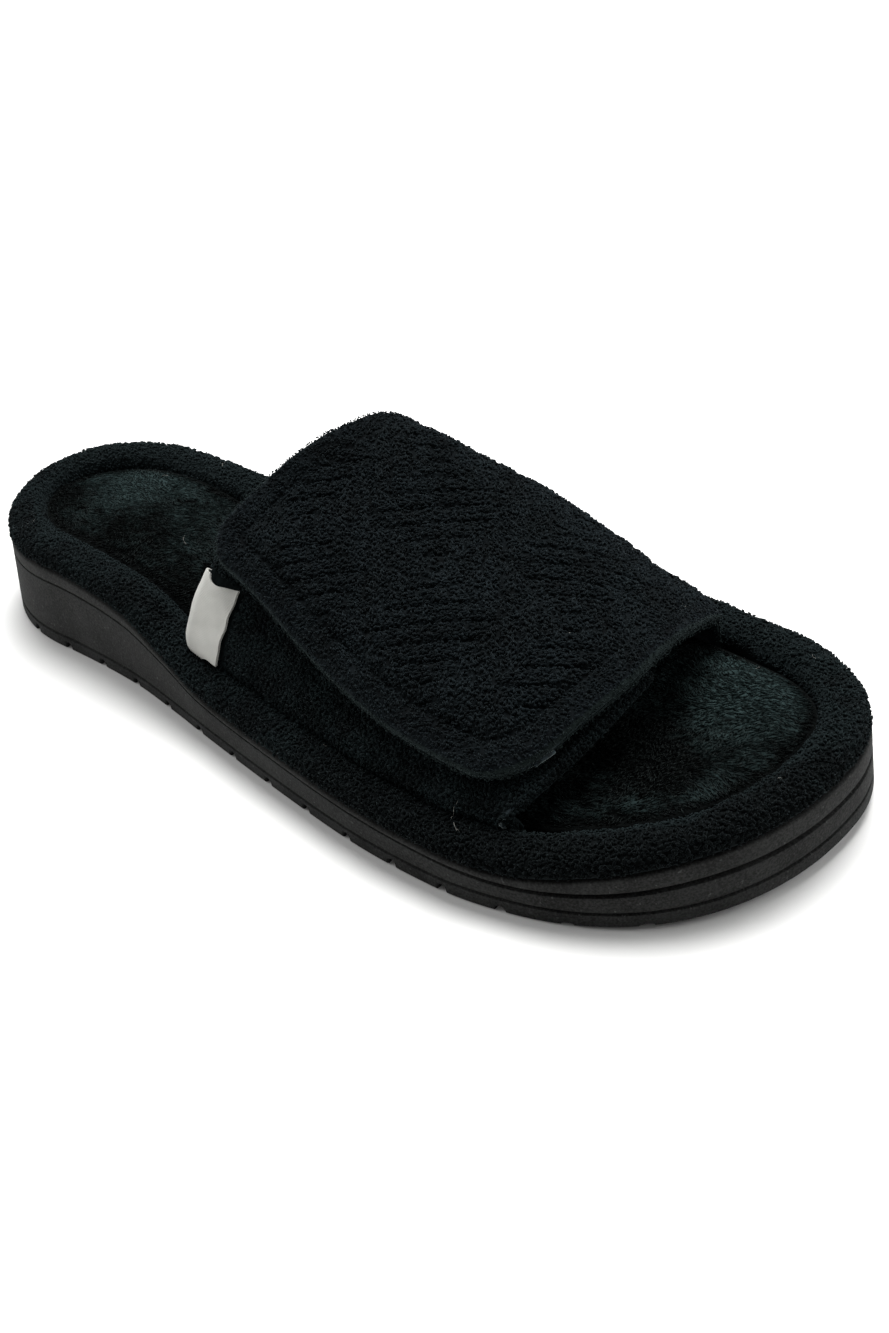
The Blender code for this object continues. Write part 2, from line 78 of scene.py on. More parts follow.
BUMPER_GROOVE_WIDTH = 0.0013
BUMPER_GROOVE_DEPTH = 0.0015
TREAD_FIRST = 0.0149
TREAD_PITCH = 0.0170
TREAD_RADIUS = 0.0016
RIM_WIDTH = 0.0125
RIM_RISE = 0.0062
RIM_SETBACK = 0.0006
INSOLE_THICKNESS = 0.0065
INSOLE_CROWN = 0.0026
INSOLE_EDGE = 0.0012
INSOLE_ENDS = 0.20
TUCK_CLEAR = 0.0080
STRAP_THICKNESS = 0.0054
QUARTER_THICKNESS = 0.0044
TUCK_THICKNESS = 0.0024
STRAP_REAR = 0.1085
STRAP_SKEW = 0.0190
STRAP_FRONT = 0.2465
FRONT_BOW = 0.0090
INSTEP_CLEARANCE = 0.0500
MIDDLE_CLEARANCE = 0.0393
TOE_CLEARANCE = 0.0239
FLAP_SETBACK = 0.0040
FLAP_REAR_SETBACK = 0.0010
FLAP_FRONT_CORNER = 0.0150
FLAP_REAR_CORNER = 0.0100
FLAP_LIFT = 0.0035
QUARTER_TOP = 0.52
SEAM_TAPER = 0.14
LAP_RAMP = 0.10
FREE_SPAN = 0.50
FREE_RAMP = 0.30
LIFT_REACH = 0.50
TAG_THICKNESS = 0.0007
TAG_WIDTH = 0.0150
TAG_LENGTH = 0.0220
TAG_START = 0.0060
TAG_INNER_WIDTH = 0.0090
TAG_STAND = 0.0005
FIT = 0.0003
LAP_GAP = 0.0006
RING_STEPS = 104
STRAP_LENGTH = STRAP_FRONT - STRAP_REAR

# How much higher the roll stands at the heel, on its outer and its inner side, as a share
OUTER_SWELL = 0.06
HEEL_SWELL = 0.50

# Height of the tread's cross grooves as a share of their radius, along the sole and at the toe,
# and where it falls from one to the other
NOTCH_RISE = 1.45
NOTCH_TOE = 0.35
NOTCH_FALL_START = 0.080
NOTCH_FALL = 0.020

# Distances between points round the sole, the rim and the insole and along a brushed edge, and
# points round the rim's section and across the insole
SOLE_STEP = 0.0022
RIM_STEP = 0.0013
RIM_POINTS = 30
INSOLE_STEP = 0.00085
INSOLE_POINTS = 101
BEAD_STEP = 0.0016

# Steps along and over the strap and the quarter, and share of the way over the foot that the strap's take
STRAP_STEPS = (150, 160)
STRAP_SHARE = 0.86
QUARTER_STEPS = (110, 60)

# Angles past which an edge of the sole or of the tag stays sharp
SOLE_CREASE = math.radians(38)
TAG_CREASE = math.radians(40)

# Colour of the painted highlight along the strap's brushed edge
EDGE_HIGHLIGHT_TINT = (0.0100, 0.0148, 0.0143)

# How much the insole's padding swells at the heel, and where
HEEL_PAD = 0.0020
HEEL_PAD_EASE = (-0.060, -0.030)

# How far the insole falls to its edge, and over what width
EDGE_FALL = 0.0017
EDGE_FALL_WIDTH = 0.0085

# Length over which the insole's edge comes back out beyond the strap's margins
TUCK_EASE = 0.0400

# Where the rim swells inward past the strap's ends, over what length, and by what share of the margin
FILL_PAST = 0.007
FILL_EASE = 0.006
FILL_SHARE = 0.5

# Places in metres where a swell, a painted light or a painted shade starts, each with the width over
# which it eases in. A width below 0 runs back towards the heel or to the outer side.
HEEL_SWELL_EASE = (-0.085, -0.045)
INNER_SWELL_EASE = (-0.02, 0.045)
NEAR_SIDE = ((0.0, 0.06), (-0.020, -0.025))
NEAR_TOE = ((0.110, 0.03), (0.012, -0.03))
FAR_HEEL = ((-0.050, -0.04), (-0.010, 0.03))
FAR_SIDE = (0.020, 0.02)

# Painted light and shade on the rim's pile: how much lighter it is painted on its far side, at the heel
# and along its inner crest, where it is a painted highlight, and how much darker near by, as painted
# shade. The crest has its place and reach across the rim.
FAR_LIGHT = 0.10
HEEL_LIGHT = 0.25
NEAR_SHADE = 0.34
CREST_HIGHLIGHT = 0.45
CREST_PLACE = 0.80
CREST_REACH = 0.11

# Distances from the strap's edge: its seam, the trough that the seam draws, and where the pattern starts
STITCH_PLACE = 0.0086
STITCH_WIDTH = 0.0009
TROUGH_PLACE = 0.0088
TROUGH_WIDTH = 0.0015
TROUGH_DEPTH = 0.0009
TROUGH_EASE = (0.62, -0.2)
PATTERN_START = 0.0075
PATTERN_EASE = 0.003
PATTERN_LOOP_EASE = 0.002

# How much shallower the pattern's upward lines are, as a share left
GROOVE_UPWARD = 0.7

# Shares of the loops left out on the pattern's lines and on the seam. Upward lines have a share of theirs.
PRESSED_SHARE = 0.78
PRESSED_UPWARD = 0.8
STITCHED_SHARE = 0.8

# Painted highlight along the strap's brushed edge, and the distance over which it fades
EDGE_LIGHT = 1.1
EDGE_LIGHT_EASE = (0.0005, 0.0016)

# Wave of the tag's front: its height, and its turns along and across the tag, in radians
TAG_WAVE = 0.00022
TAG_WAVE_ALONG = 19.0
TAG_WAVE_ACROSS = 2.0

# Radius of the brushed edge of the turned walls, how far out it stands, its points round, and a
# direction that it never runs in
EDGE_BEAD = 0.0008
EDGE_OUT = 0.0010
EDGE_SIDES = 6
EDGE_GUIDE = (0.21, 0.34, 0.92)

# The tag: how far its upper end dips and curls, its folded side drops, and its foot and middle stand out
TAG_DIP = 0.0020
TAG_CURL = 0.0009
TAG_DROP = 0.0030
TAG_FOOT = 0.0016
TAG_BELLY = 0.0016

# Radius of a stray fibre, points along it and round it, and how strongly it is bent
LINT_RADIUS = 0.00005
LINT_POINTS = 7
LINT_SIDES = 4
LINT_BEND = 0.6

# The strap stands a little higher at its rear over the instep
CREST_SPAN = 0.60
CREST_WIDTH = 0.15
CREST_LENGTH = 0.22
CREST_RISE = 0.0022

# Seam round the turned edges: how far in it is drawn, and its share of the wall's thickness
SEAM_DEPTH = 0.0009
SEAM_SHARE = 0.10

# Sides of the foot: outer and inner
LATERAL = -1
MEDIAL = 1

# Section of a moulded groove: place across it in half widths, and share of its depth
GROOVE_SHARES = (
    (-1.5, 0.0),
    (-1.0, 0.05),
    (-0.8, 0.4),
    (-0.6, 1.0),
    (0.45, 1.0),
    (0.7, 0.4),
    (0.95, 0.05),
    (1.5, 0.0),
)

# Random numbers that the loops and hairs of each piece start from
PILE_SEEDS = {"rim": 21, "insole": 37, "strap": 43, "quarter": 53}

SoleRow = namedtuple("SoleRow", "station lateral medial lean top lip groove rim insole")
# Shares of the sole's sizes at stations from heel to toe, as in the solids
SOLE_ROWS = tuple(
    SoleRow(*row)
    for row in (
        (0.00, 0.300, 0.315, 1.00, 0.930, 0.150, 0.60, 0.95, 0.40),
        (0.09, 0.300, 0.315, 0.80, 0.960, 0.150, 0.60, 0.95, 0.40),
        (0.18, 0.299, 0.314, 0.50, 0.995, 0.150, 0.60, 0.95, 0.40),
        (0.28, 0.318, 0.314, 0.25, 0.900, 0.115, 0.60, 0.95, 0.40),
        (0.35, 0.350, 0.320, 0.10, 0.700, 0.065, 0.60, 0.95, 0.42),
        (0.41, 0.382, 0.336, 0.04, 0.525, 0.054, 0.60, 0.95, 0.46),
        (0.52, 0.436, 0.400, 0.02, 0.483, 0.054, 0.60, 0.95, 0.50),
        (0.64, 0.485, 0.478, 0.02, 0.455, 0.054, 0.60, 0.95, 0.50),
        (0.73, 0.499, 0.500, 0.02, 0.430, 0.060, 0.70, 0.95, 0.52),
        (0.81, 0.492, 0.497, 0.02, 0.424, 0.091, 1.00, 1.00, 0.70),
        (0.89, 0.486, 0.493, 0.02, 0.569, 0.177, 1.20, 1.05, 0.92),
        (0.95, 0.483, 0.491, 0.02, 0.687, 0.210, 1.30, 1.05, 0.98),
        (1.00, 0.480, 0.490, 0.02, 0.746, 0.225, 1.30, 1.05, 0.98),
    )
)

RimRow = namedtuple("RimRow", "across up")
# Section of the rim, from its outer to its inner side
RIM_ROWS = tuple(
    RimRow(*row)
    for row in (
        (0.050, 0.00),
        (0.000, 0.26),
        (0.060, 0.62),
        (0.240, 0.90),
        (0.540, 1.00),
        (0.820, 0.92),
        (0.960, 0.70),
        (1.000, 0.40),
        (1.000, 0.00),
    )
)

ArchRow = namedtuple("ArchRow", "span rear_side rear_rise mid_side mid_rise toe_side toe_rise")
# The strap's inner surface over the foot, from the lateral to the medial seam
ARCH_ROWS = tuple(
    ArchRow(*row)
    for row in (
        (0.000, -1.000, 0.080, -1.000, 0.107, -1.000, 0.213),
        (0.031, -1.100, 0.145, -1.067, 0.180, -1.068, 0.318),
        (0.071, -1.085, 0.240, -1.036, 0.305, -1.023, 0.460),
        (0.133, -0.945, 0.380, -0.904, 0.454, -0.886, 0.600),
        (0.214, -0.700, 0.535, -0.700, 0.610, -0.680, 0.730),
        (0.309, -0.400, 0.667, -0.437, 0.752, -0.430, 0.865),
        (0.423, -0.010, 0.790, -0.102, 0.871, -0.158, 0.975),
        (0.541, 0.410, 0.895, 0.257, 0.958, 0.138, 1.010),
        (0.641, 0.800, 0.970, 0.570, 1.000, 0.388, 0.945),
        (0.707, 1.095, 0.995, 0.772, 0.975, 0.593, 0.805),
        (0.766, 1.250, 0.905, 0.916, 0.850, 0.752, 0.670),
        (0.844, 1.270, 0.590, 1.000, 0.615, 0.877, 0.520),
        (0.933, 1.180, 0.250, 1.048, 0.330, 0.968, 0.370),
        (1.000, 1.000, 0.110, 1.000, 0.119, 1.000, 0.220),
    )
)

FlapRow = namedtuple("FlapRow", "along span")
# Lower edge of the flap
FLAP_ROWS = tuple(
    FlapRow(*row)
    for row in ((0.00, 0.240), (0.17, 0.220), (0.35, 0.175), (0.50, 0.145), (0.70, 0.120), (1.00, 0.110))
)

SpotRow = namedtuple("SpotRow", "x y reach amount")
# Places where the insole is trodden down (below 0) or swells, in metres
DENT_ROWS = tuple(
    SpotRow(*row)
    for row in (
        (-0.105, 0.004, 0.022, -0.0016),
        (-0.117, -0.004, 0.008, -0.0009),
        (-0.068, -0.003, 0.007, -0.0016),
        (-0.079, -0.010, 0.006, 0.0009),
        (-0.072, 0.010, 0.006, 0.0008),
        (-0.090, 0.012, 0.005, -0.0009),
        (-0.098, 0.020, 0.004, -0.0007),
        (0.104, 0.002, 0.016, -0.0020),
        (0.112, 0.027, 0.012, 0.0011),
        (0.096, -0.026, 0.012, 0.0010),
    )
)

# Places where the insole's nap is painted lighter or darker, as a share: patches of the nap, painted
# sheen and painted shade
NAP_AND_PAINTED_LIGHT_ROWS = tuple(
    SpotRow(*row)
    for row in (
        (-0.112, 0.018, 0.018, 0.46),
        (-0.092, 0.019, 0.015, 0.34),
        (-0.104, 0.004, 0.010, 0.22),
        (-0.121, -0.003, 0.006, -0.40),
        (-0.084, -0.012, 0.016, -0.14),
        (-0.070, 0.004, 0.008, 0.14),
        (-0.058, -0.022, 0.012, -0.22),
        (0.112, 0.030, 0.018, 0.62),
        (0.098, 0.040, 0.012, 0.40),
        (0.110, 0.012, 0.012, 0.42),
        (0.094, -0.008, 0.013, -0.60),
        (0.108, -0.014, 0.010, -0.34),
        (0.122, -0.020, 0.009, 0.08),
        (0.130, 0.004, 0.009, 0.04),
    )
)

FoldRow = namedtuple("FoldRow", "along span lean reach length amount")
# Soft creases of the quarter: place along and over it, lean, half width and half length, and height
QUARTER_FOLDS = tuple(
    FoldRow(*row)
    for row in (
        (0.24, 0.10, 0.10, 0.040, 0.12, -0.0005),
        (0.36, 0.12, 0.05, 0.035, 0.10, 0.0005),
        (0.48, 0.10, -0.10, 0.030, 0.10, -0.0006),
        (0.60, 0.10, -0.15, 0.035, 0.09, 0.0006),
        (0.71, 0.09, -0.20, 0.025, 0.09, -0.0007),
        (0.81, 0.09, -0.20, 0.025, 0.08, 0.0006),
        (0.90, 0.08, -0.20, 0.022, 0.08, -0.0006),
    )
)
# Soft creases of the strap
STRAP_FOLDS = tuple(
    FoldRow(*row)
    for row in (
        (0.10, 0.55, 0.10, 0.050, 0.20, -0.0006),
        (0.22, 0.42, 0.30, 0.060, 0.16, 0.0005),
        (0.86, 0.62, -0.15, 0.040, 0.12, -0.0008),
        (0.94, 0.70, -0.20, 0.030, 0.10, 0.0008),
        (0.80, 0.76, 0.20, 0.040, 0.10, -0.0006),
        (0.55, 0.30, 0.20, 0.080, 0.14, 0.0005),
    )
)

LintRow = namedtuple("LintRow", "x y turn length")
# Stray fibres that lie on the slipper: place, direction in radians and length
LINT_ROWS = tuple(
    LintRow(*row)
    for row in (
        (-0.0692, -0.0032, 2.5, 0.0046),
        (-0.0846, 0.0300, 2.2, 0.0030),
        (-0.1010, 0.0190, 0.3, 0.0022),
        (0.0248, -0.0464, 0.8, 0.0012),
        (0.0766, -0.0038, 1.9, 0.0012),
        (0.0747, -0.0529, 2.6, 0.0040),
        (0.0720, -0.0505, 1.4, 0.0034),
        (0.1190, 0.0400, 2.9, 0.0030),
        (0.1380, -0.0081, 0.5, 0.0011),
        (0.1050, 0.0345, 1.2, 0.0016),
        (-0.1180, -0.0225, 1.7, 0.0030),
        (0.0900, 0.0260, 0.2, 0.0011),
        (0.0765, 0.0440, 2.0, 0.0030),
        (0.0790, 0.0430, 1.0, 0.0026),
        (0.0740, 0.0455, 0.3, 0.0030),
    )
)

LumpRow = namedtuple("LumpRow", "size seed height")
# Soft unevenness of the rim, the strap, the quarter and the insole: size of the lumps, start and height
RIM_LUMPS = (LumpRow(0.014, 11, 0.0005), LumpRow(0.004, 12, 0.0003))
STRAP_LUMPS = (LumpRow(0.010, 41, 0.00045), LumpRow(0.0016, 42, 0.00018))
QUARTER_LUMPS = (LumpRow(0.008, 51, 0.0004),)
QUARTER_STRETCH = (1.0, 1.0, 0.5)
STREAK_LUMPS = (LumpRow(0.0018, 31, 0.00032),)
STREAK_STRETCH = (0.6, 1.0, 1.0)
INSOLE_LUMPS = (LumpRow(0.0050, 32, 0.00035),)
# Turns of the insole's nap, in radians about its middle direction
NAP_TURN = 0.5
NAP_TURNS = (LumpRow(0.018, 35, 1.2), LumpRow(0.006, 36, 0.7))

# Pits in the insole's nap: where there are any, and each pit
PITTED = LumpRow(0.016, 33, 1.0)
PITTED_EASE = (-0.25, 0.5)
PITS = LumpRow(0.0021, 34, 0.0008)
PITS_EASE = (0.25, 0.4)
# How much darker the nap is painted in a pit, as painted shade, and how much sparser it is there, for
# each metre of depth
PIT_SHADE = 700.0
PIT_SPARSE = 1200.0
PIT_LEAST = 0.25
# How light the insole's nap is painted everywhere, and the painted shade along its edge by the rim,
# the width of that, and on its side
NAP_LIGHT = 0.12
NAP_EDGE_SHADE = 0.5
NAP_EDGE_WIDTH = 0.0035
NAP_SIDE_SHADE = -0.6

LampRow = namedtuple("LampRow", "name place size power")
# Soft lamps, all turned to the slipper
LAMP_ROWS = (
    LampRow("top", (-0.15, 0.65, 1.4), 1.2, 46.0),
    LampRow("left", (-1.3, -0.6, 0.7), 0.9, 10.0),
    LampRow("right", (1.1, 0.9, 0.7), 0.9, 10.0),
)


class PileSizes(bpy.types.PropertyGroup):
    """Loops of the terry and nap of the velour."""

    loop_length: FloatProperty(
        name="Loop length", description="Half length of a loop", default=0.00080, unit="LENGTH"
    )
    loop_width: FloatProperty(
        name="Loop width", description="Half width of a loop", default=0.00039, unit="LENGTH"
    )
    loop_rise: FloatProperty(
        name="Loop rise", description="Half height of a loop", default=0.00046, unit="LENGTH"
    )
    rim_share: FloatProperty(
        name="Rim loops' size", description="Size of the rim's loops beside the strap's", default=0.95
    )
    strap_loops: IntProperty(name="Strap loops", description="Loops on the strap", default=24600)
    quarter_loops: IntProperty(name="Quarter loops", description="Loops on the side quarter", default=9000)
    rim_loops: IntProperty(name="Rim loops", description="Loops on the rim", default=20000)
    nap_length: FloatProperty(
        name="Nap length", description="Half length of a hair", default=0.0010, unit="LENGTH"
    )
    nap_width: FloatProperty(
        name="Nap width", description="Half width of a hair", default=0.00023, unit="LENGTH"
    )
    nap_rise: FloatProperty(
        name="Nap rise", description="Half height of a hair", default=0.0002, unit="LENGTH"
    )
    nap_hairs: IntProperty(name="Nap hairs", description="Tufts of nap on the insole", default=34000)


class EmbossSizes(bpy.types.PropertyGroup):
    """Nested squares pressed into the strap, each column half a square above the next."""

    spacing: FloatProperty(
        name="Spacing", description="Distance between lines", default=0.0053, unit="LENGTH"
    )
    lines: IntProperty(name="Lines", description="Lines across a square, from side to side", default=7)
    start: FloatProperty(
        name="Start", description="Middle of the first square", default=0.024, unit="LENGTH"
    )
    depth: FloatProperty(name="Depth", description="Depth of the lines", default=0.0008, unit="LENGTH")
    turn: FloatProperty(
        name="Turn", description="Turn of the lines from the sole's length", default=0.58, subtype="ANGLE"
    )
    width: FloatProperty(name="Width", description="Half width of the lines", default=0.0010, unit="LENGTH")


class FinishColours(bpy.types.PropertyGroup):
    """Colours of the slipper."""

    terry: FloatVectorProperty(
        name="Terry", description="Terry of the strap", default=(0.0028, 0.0043, 0.0052), subtype="COLOR"
    )
    plain: FloatVectorProperty(
        name="Plain terry",
        description="Finer terry of rim and quarter",
        default=(0.0025, 0.0042, 0.0044),
        subtype="COLOR",
    )
    velour: FloatVectorProperty(
        name="Velour", description="Velour of the insole", default=(0.0034, 0.0056, 0.0056), subtype="COLOR"
    )
    rubber: FloatVectorProperty(
        name="Rubber", description="Rubber of the sole", default=(0.0168, 0.0174, 0.0170), subtype="COLOR"
    )
    tape: FloatVectorProperty(
        name="Tape", description="Woven tape of the tag", default=(0.46, 0.46, 0.43), subtype="COLOR"
    )


class StageSizes(bpy.types.PropertyGroup):
    """Camera, floor and lights."""

    azimuth: FloatProperty(
        name="Azimuth", description="Camera's azimuth", default=math.radians(47.79), unit="ROTATION"
    )
    elevation: FloatProperty(
        name="Elevation", description="Camera's elevation", default=math.radians(34.39), unit="ROTATION"
    )
    roll: FloatProperty(
        name="Roll", description="Camera's roll", default=math.radians(-11.83), unit="ROTATION"
    )
    distance: FloatProperty(name="Distance", description="Camera to target", default=0.5399, unit="LENGTH")
    target: FloatVectorProperty(
        name="Target",
        description="Point on the camera's axis",
        default=(0.0025, 0.0, 0.020),
        subtype="TRANSLATION",
    )
    lens: FloatProperty(name="Lens", description="Focal length in millimetres", default=51.88)
    sensor: FloatProperty(name="Sensor", description="Sensor width in millimetres", default=36.0)
    shift: FloatVectorProperty(name="Shift", description="Lens shift", default=(0.0513, -0.0301), size=2)
    floor_size: FloatProperty(name="Floor size", description="Side of the floor", default=6.0, unit="LENGTH")
    sky: FloatProperty(name="Sky", description="Strength of the even light", default=0.22)
    floor_colour: FloatVectorProperty(
        name="Floor", description="Colour of the floor", default=(0.88, 0.88, 0.87), subtype="COLOR"
    )


class Sample:
    """A socket's value in shader maths. An expression on it adds Math nodes."""

    def __init__(self, finish, socket):
        self.finish = finish
        self.socket = socket

    def math(self, operation, *values):
        """Add a Math node."""
        return self.finish.node("ShaderNodeMath", {"operation": operation}, dict(enumerate(values)))

    def __add__(self, other):
        return self.math("ADD", self, other)

    def __sub__(self, other):
        return self.math("SUBTRACT", self, other)

    def __rsub__(self, other):
        return self.math("SUBTRACT", other, self)

    def __mul__(self, other):
        return self.math("MULTIPLY", self, other)

    __radd__ = __add__
    __rmul__ = __mul__


class Finish:
    """Material of one finish."""

    def __init__(
        self, name, roughness, sheen=0.0, sheen_roughness=0.5, sheen_tint=(1.0, 1.0, 1.0), specular=0.5
    ):
        self.material = bpy.data.materials.new(name)
        self.material.use_nodes = True
        self.tree = self.material.node_tree
        self.shader = self.tree.nodes["Principled BSDF"]
        self.shader.inputs["Roughness"].default_value = roughness
        self.shader.inputs["Sheen Weight"].default_value = sheen
        self.shader.inputs["Sheen Roughness"].default_value = sheen_roughness
        self.shader.inputs["Sheen Tint"].default_value = (*sheen_tint, 1.0)
        self.shader.inputs["Specular IOR Level"].default_value = specular

    def node(self, kind, settings=None, inputs=None, output=0):
        """Add a node: first its settings, then the values or links of its sockets."""
        made = self.tree.nodes.new(kind)
        for key, value in (settings or {}).items():
            setattr(made, key, value)
        for key, value in (inputs or {}).items():
            self.feed(made.inputs[key], value)
        return Sample(self, made.outputs[output])

    def feed(self, socket, value):
        """Set a socket, or link it."""
        if isinstance(value, Sample):
            self.tree.links.new(value.socket, socket)
        else:
            socket.default_value = value

    def laid(self):
        """Painted light and shade at each point, as mark keeps it."""
        return self.node("ShaderNodeAttribute", {"attribute_name": "laid"}, output="Fac")

    def place(self):
        """Place on the object, in metres."""
        return self.node("ShaderNodeTexCoord", output="Object")

    def noise(self, size, detail=2.0, stretch=None):
        """Soft random pattern with patches of a given size."""
        where = self.place()
        if stretch:
            where = self.node("ShaderNodeMapping", inputs={"Vector": where, "Scale": stretch})
        inputs = {"Vector": where, "Scale": 1.0 / size, "Detail": detail}
        return self.node("ShaderNodeTexNoise", inputs=inputs)

    def blend(self, share, low, high):
        """Colour between two others, of which the first may be a painted one."""
        low = low if isinstance(low, Sample) else (*low, 1.0)
        inputs = {"Factor": share, 6: low, 7: (*high, 1.0)}
        return self.node("ShaderNodeMix", {"data_type": "RGBA"}, inputs, output=2)

    def ease(self, value, low, high):
        """Value spread over 0 to 1 between two limits."""
        inputs = {"Value": value, "From Min": low, "From Max": high}
        return self.node("ShaderNodeMapRange", {"interpolation_type": "SMOOTHSTEP"}, inputs)

    def bump(self, height, distance, strength=1.0):
        """Feed a height to the shader's normal."""
        inputs = {"Height": height, "Distance": distance, "Strength": strength}
        self.feed(self.shader.inputs["Normal"], self.node("ShaderNodeBump", inputs=inputs))

    def paint(self, colour):
        """Feed the base colour."""
        self.feed(self.shader.inputs["Base Color"], colour)

    def rough(self, value):
        """Feed the roughness."""
        self.feed(self.shader.inputs["Roughness"], value)


def smooth_step(value):
    """Ease from 0 to 1."""
    value = np.clip(value, 0.0, 1.0)
    return value * value * (3.0 - 2.0 * value)


def ramp(value, start, width):
    """Ease from 0 at a start to 1 over a width, which is below 0 where it runs back."""
    return smooth_step((value - start) / width)


def mix(low, high, share):
    """Value between two others."""
    return low + (high - low) * share


def tinted(colour, share):
    """Colour made darker or lighter."""
    return [share * value for value in colour]


def read(rows, column, place):
    """Read a table's column at places, on a smooth curve through its rows."""
    places = np.array([row[0] for row in rows])
    values = np.array([getattr(row, column) for row in rows])
    last = len(rows) - 1
    index = np.arange(last + 1)
    before = np.maximum(index - 1, 0)
    after = np.minimum(index + 1, last)
    slopes = (values[after] - values[before]) / (places[after] - places[before])
    place = np.clip(place, places[0], places[last])
    low = np.clip(np.searchsorted(places, place, side="right") - 1, 0, last - 1)
    gap = places[low + 1] - places[low]
    t = (place - places[low]) / gap
    start = values[low] * (1 + 2 * t) * (1 - t) ** 2 + slopes[low] * gap * t * (1 - t) ** 2
    end = values[low + 1] * t * t * (3 - 2 * t) - slopes[low + 1] * gap * t * t * (1 - t)
    return start + end


def length_along(points):
    """Length of a path up to each of its points."""
    return np.concatenate(((0.0,), np.cumsum(np.linalg.norm(np.diff(points, axis=0), axis=1))))


def station_of(x):
    """Share of the sole's length at a place along X."""
    return np.clip(x / SOLE_LENGTH + 0.5, 0.0, 1.0)


def deck_height(x):
    """Height of the sole's deck."""
    return HEEL_HEIGHT * read(SOLE_ROWS, "top", station_of(x))


def lean(x):
    """How far the sole's side has leaned in at the deck."""
    return HEEL_LEAN * read(SOLE_ROWS, "lean", station_of(x))


def floor_height(x):
    """Height of the tread."""
    return TOE_SPRING * np.maximum((station_of(x) - 1.0 + TOE_LIFT) / TOE_LIFT, 0.0) ** 2


def outline(angle):
    """Points of the sole's outline. 0 is the heel, pi the toe, and the lateral side comes first."""
    angle = np.mod(angle, 2.0 * math.pi)
    station = 0.5 * (1.0 - np.cos(angle))
    heel = np.sqrt(np.maximum(1.0 - (1.0 - station / HEEL_ROUND) ** 2, 0.0))
    reach = np.maximum(1.0 - (1.0 - station) / TOE_ROUND, 0.0)
    toe = np.maximum(1.0 - reach**TOE_POWER, 0.0) ** (1.0 / TOE_POWER)
    spread = np.where(station < HEEL_ROUND, heel, np.where(station > 1.0 - TOE_ROUND, toe, 1.0))
    centre = TOE_OFFSET * np.maximum((station - 1.0 + TOE_TURN) / TOE_TURN, 0.0) ** 2
    lateral = LATERAL * read(SOLE_ROWS, "lateral", station)
    medial = MEDIAL * read(SOLE_ROWS, "medial", station)
    edge = SOLE_WIDTH * np.where(angle < math.pi, lateral, medial)
    return np.stack(((station - 0.5) * SOLE_LENGTH, mix(centre, edge, spread)), -1)


def inset(angle, depth):
    """Points at a depth inside the outline."""
    nudge = math.pi / RING_STEPS
    along = outline(angle + nudge) - outline(angle - nudge)
    along /= np.linalg.norm(along, axis=-1, keepdims=True)
    inward = np.stack((-along[..., 1], along[..., 0]), -1)
    return outline(angle) + inward * np.asarray(depth)[..., None]


def side_angle(x, side):
    """Angle of the outline's point at a place along X, on one side."""
    angle = np.arccos(1.0 - 2.0 * station_of(x))
    return angle if side == LATERAL else 2.0 * math.pi - angle


def ring_of(half_angles):
    """Angles right round the outline from those of its lateral half, heel and toe included."""
    return np.concatenate((half_angles, 2.0 * math.pi - half_angles[-2:0:-1]))


def even_angles(step):
    """Angles of the lateral half, spaced evenly along the outline."""
    angles = np.linspace(0.0, math.pi, 4001)
    points = outline(np.minimum(angles, math.pi - 1e-9))
    length = length_along(points)
    count = round(length[-1] / step)
    return np.interp(np.linspace(0.0, length[-1], count + 1), length, angles)


def ring_row(angles, depth, height):
    """Ring at a depth inside the deck's outline. Depth and height are functions of X."""
    x = outline(angles)[..., 0]
    place = inset(angles, lean(x) + depth(x))
    return np.concatenate((place, height(place[..., 0])[..., None]), -1)


def three_way(rear, middle, toe, along):
    """Curve through the strap's rear, middle and front values."""
    return (
        rear * (1.0 - along) * (1.0 - 2.0 * along)
        + middle * 4.0 * along * (1.0 - along)
        + toe * along * (2.0 * along - 1.0)
    )


def strap_x(along, side):
    """Place along X on the strap: its rear edge runs forward to the medial side, its front is bowed."""
    rear = STRAP_REAR + STRAP_SKEW * (0.5 * (side + 1.0)) ** 2
    front = STRAP_FRONT - FRONT_BOW * side * side
    return mix(rear, front, along) - 0.5 * SOLE_LENGTH


def seam(along, side, depth):
    """Points of a strap's margin in the seam, at a depth inside the deck's outline."""
    x = strap_x(along, side)
    return inset(side_angle(x, side), lean(x) + depth)


def arch(along, span):
    """Points of the strap's inner surface, over the foot from the lateral to the medial seam."""
    along, span = np.broadcast_arrays(np.asarray(along, float), np.asarray(span, float))
    side = three_way(*(read(ARCH_ROWS, name, span) for name in ("rear_side", "mid_side", "toe_side")), along)
    rise = three_way(*(read(ARCH_ROWS, name, span) for name in ("rear_rise", "mid_rise", "toe_rise")), along)
    clearance = three_way(INSTEP_CLEARANCE, MIDDLE_CLEARANCE, TOE_CLEARANCE, along)
    lateral = seam(along, LATERAL, RIM_WIDTH)
    medial = seam(along, MEDIAL, RIM_WIDTH + FIT + TUCK_THICKNESS)
    over = 0.5 * (side + 1.0)
    straight = mix(strap_x(along, LATERAL), strap_x(along, MEDIAL), over)
    x = mix(lateral[..., 0], medial[..., 0], over) + strap_x(along, side) - straight
    y = mix(lateral[..., 1], medial[..., 1], over)
    return np.stack((x, y, deck_height(x) + clearance * rise), -1)


def unit(vectors):
    """Vectors at length 1."""
    return vectors / np.maximum(np.linalg.norm(vectors, axis=-1, keepdims=True), 1e-12)


def arch_normal(along, span):
    """Outward directions of the strap's surface."""
    nudge = 0.01
    forward = arch(along + nudge, span) - arch(along - nudge, span)
    over = arch(along, np.minimum(span + nudge, 1.0)) - arch(along, np.maximum(span - nudge, 0.0))
    return unit(np.cross(forward, over))


def arch_length(along):
    """Length over the foot, from seam to seam."""
    points = arch(along, np.linspace(0.0, 1.0, 23))
    return np.linalg.norm(np.diff(points, axis=0), axis=1).sum()


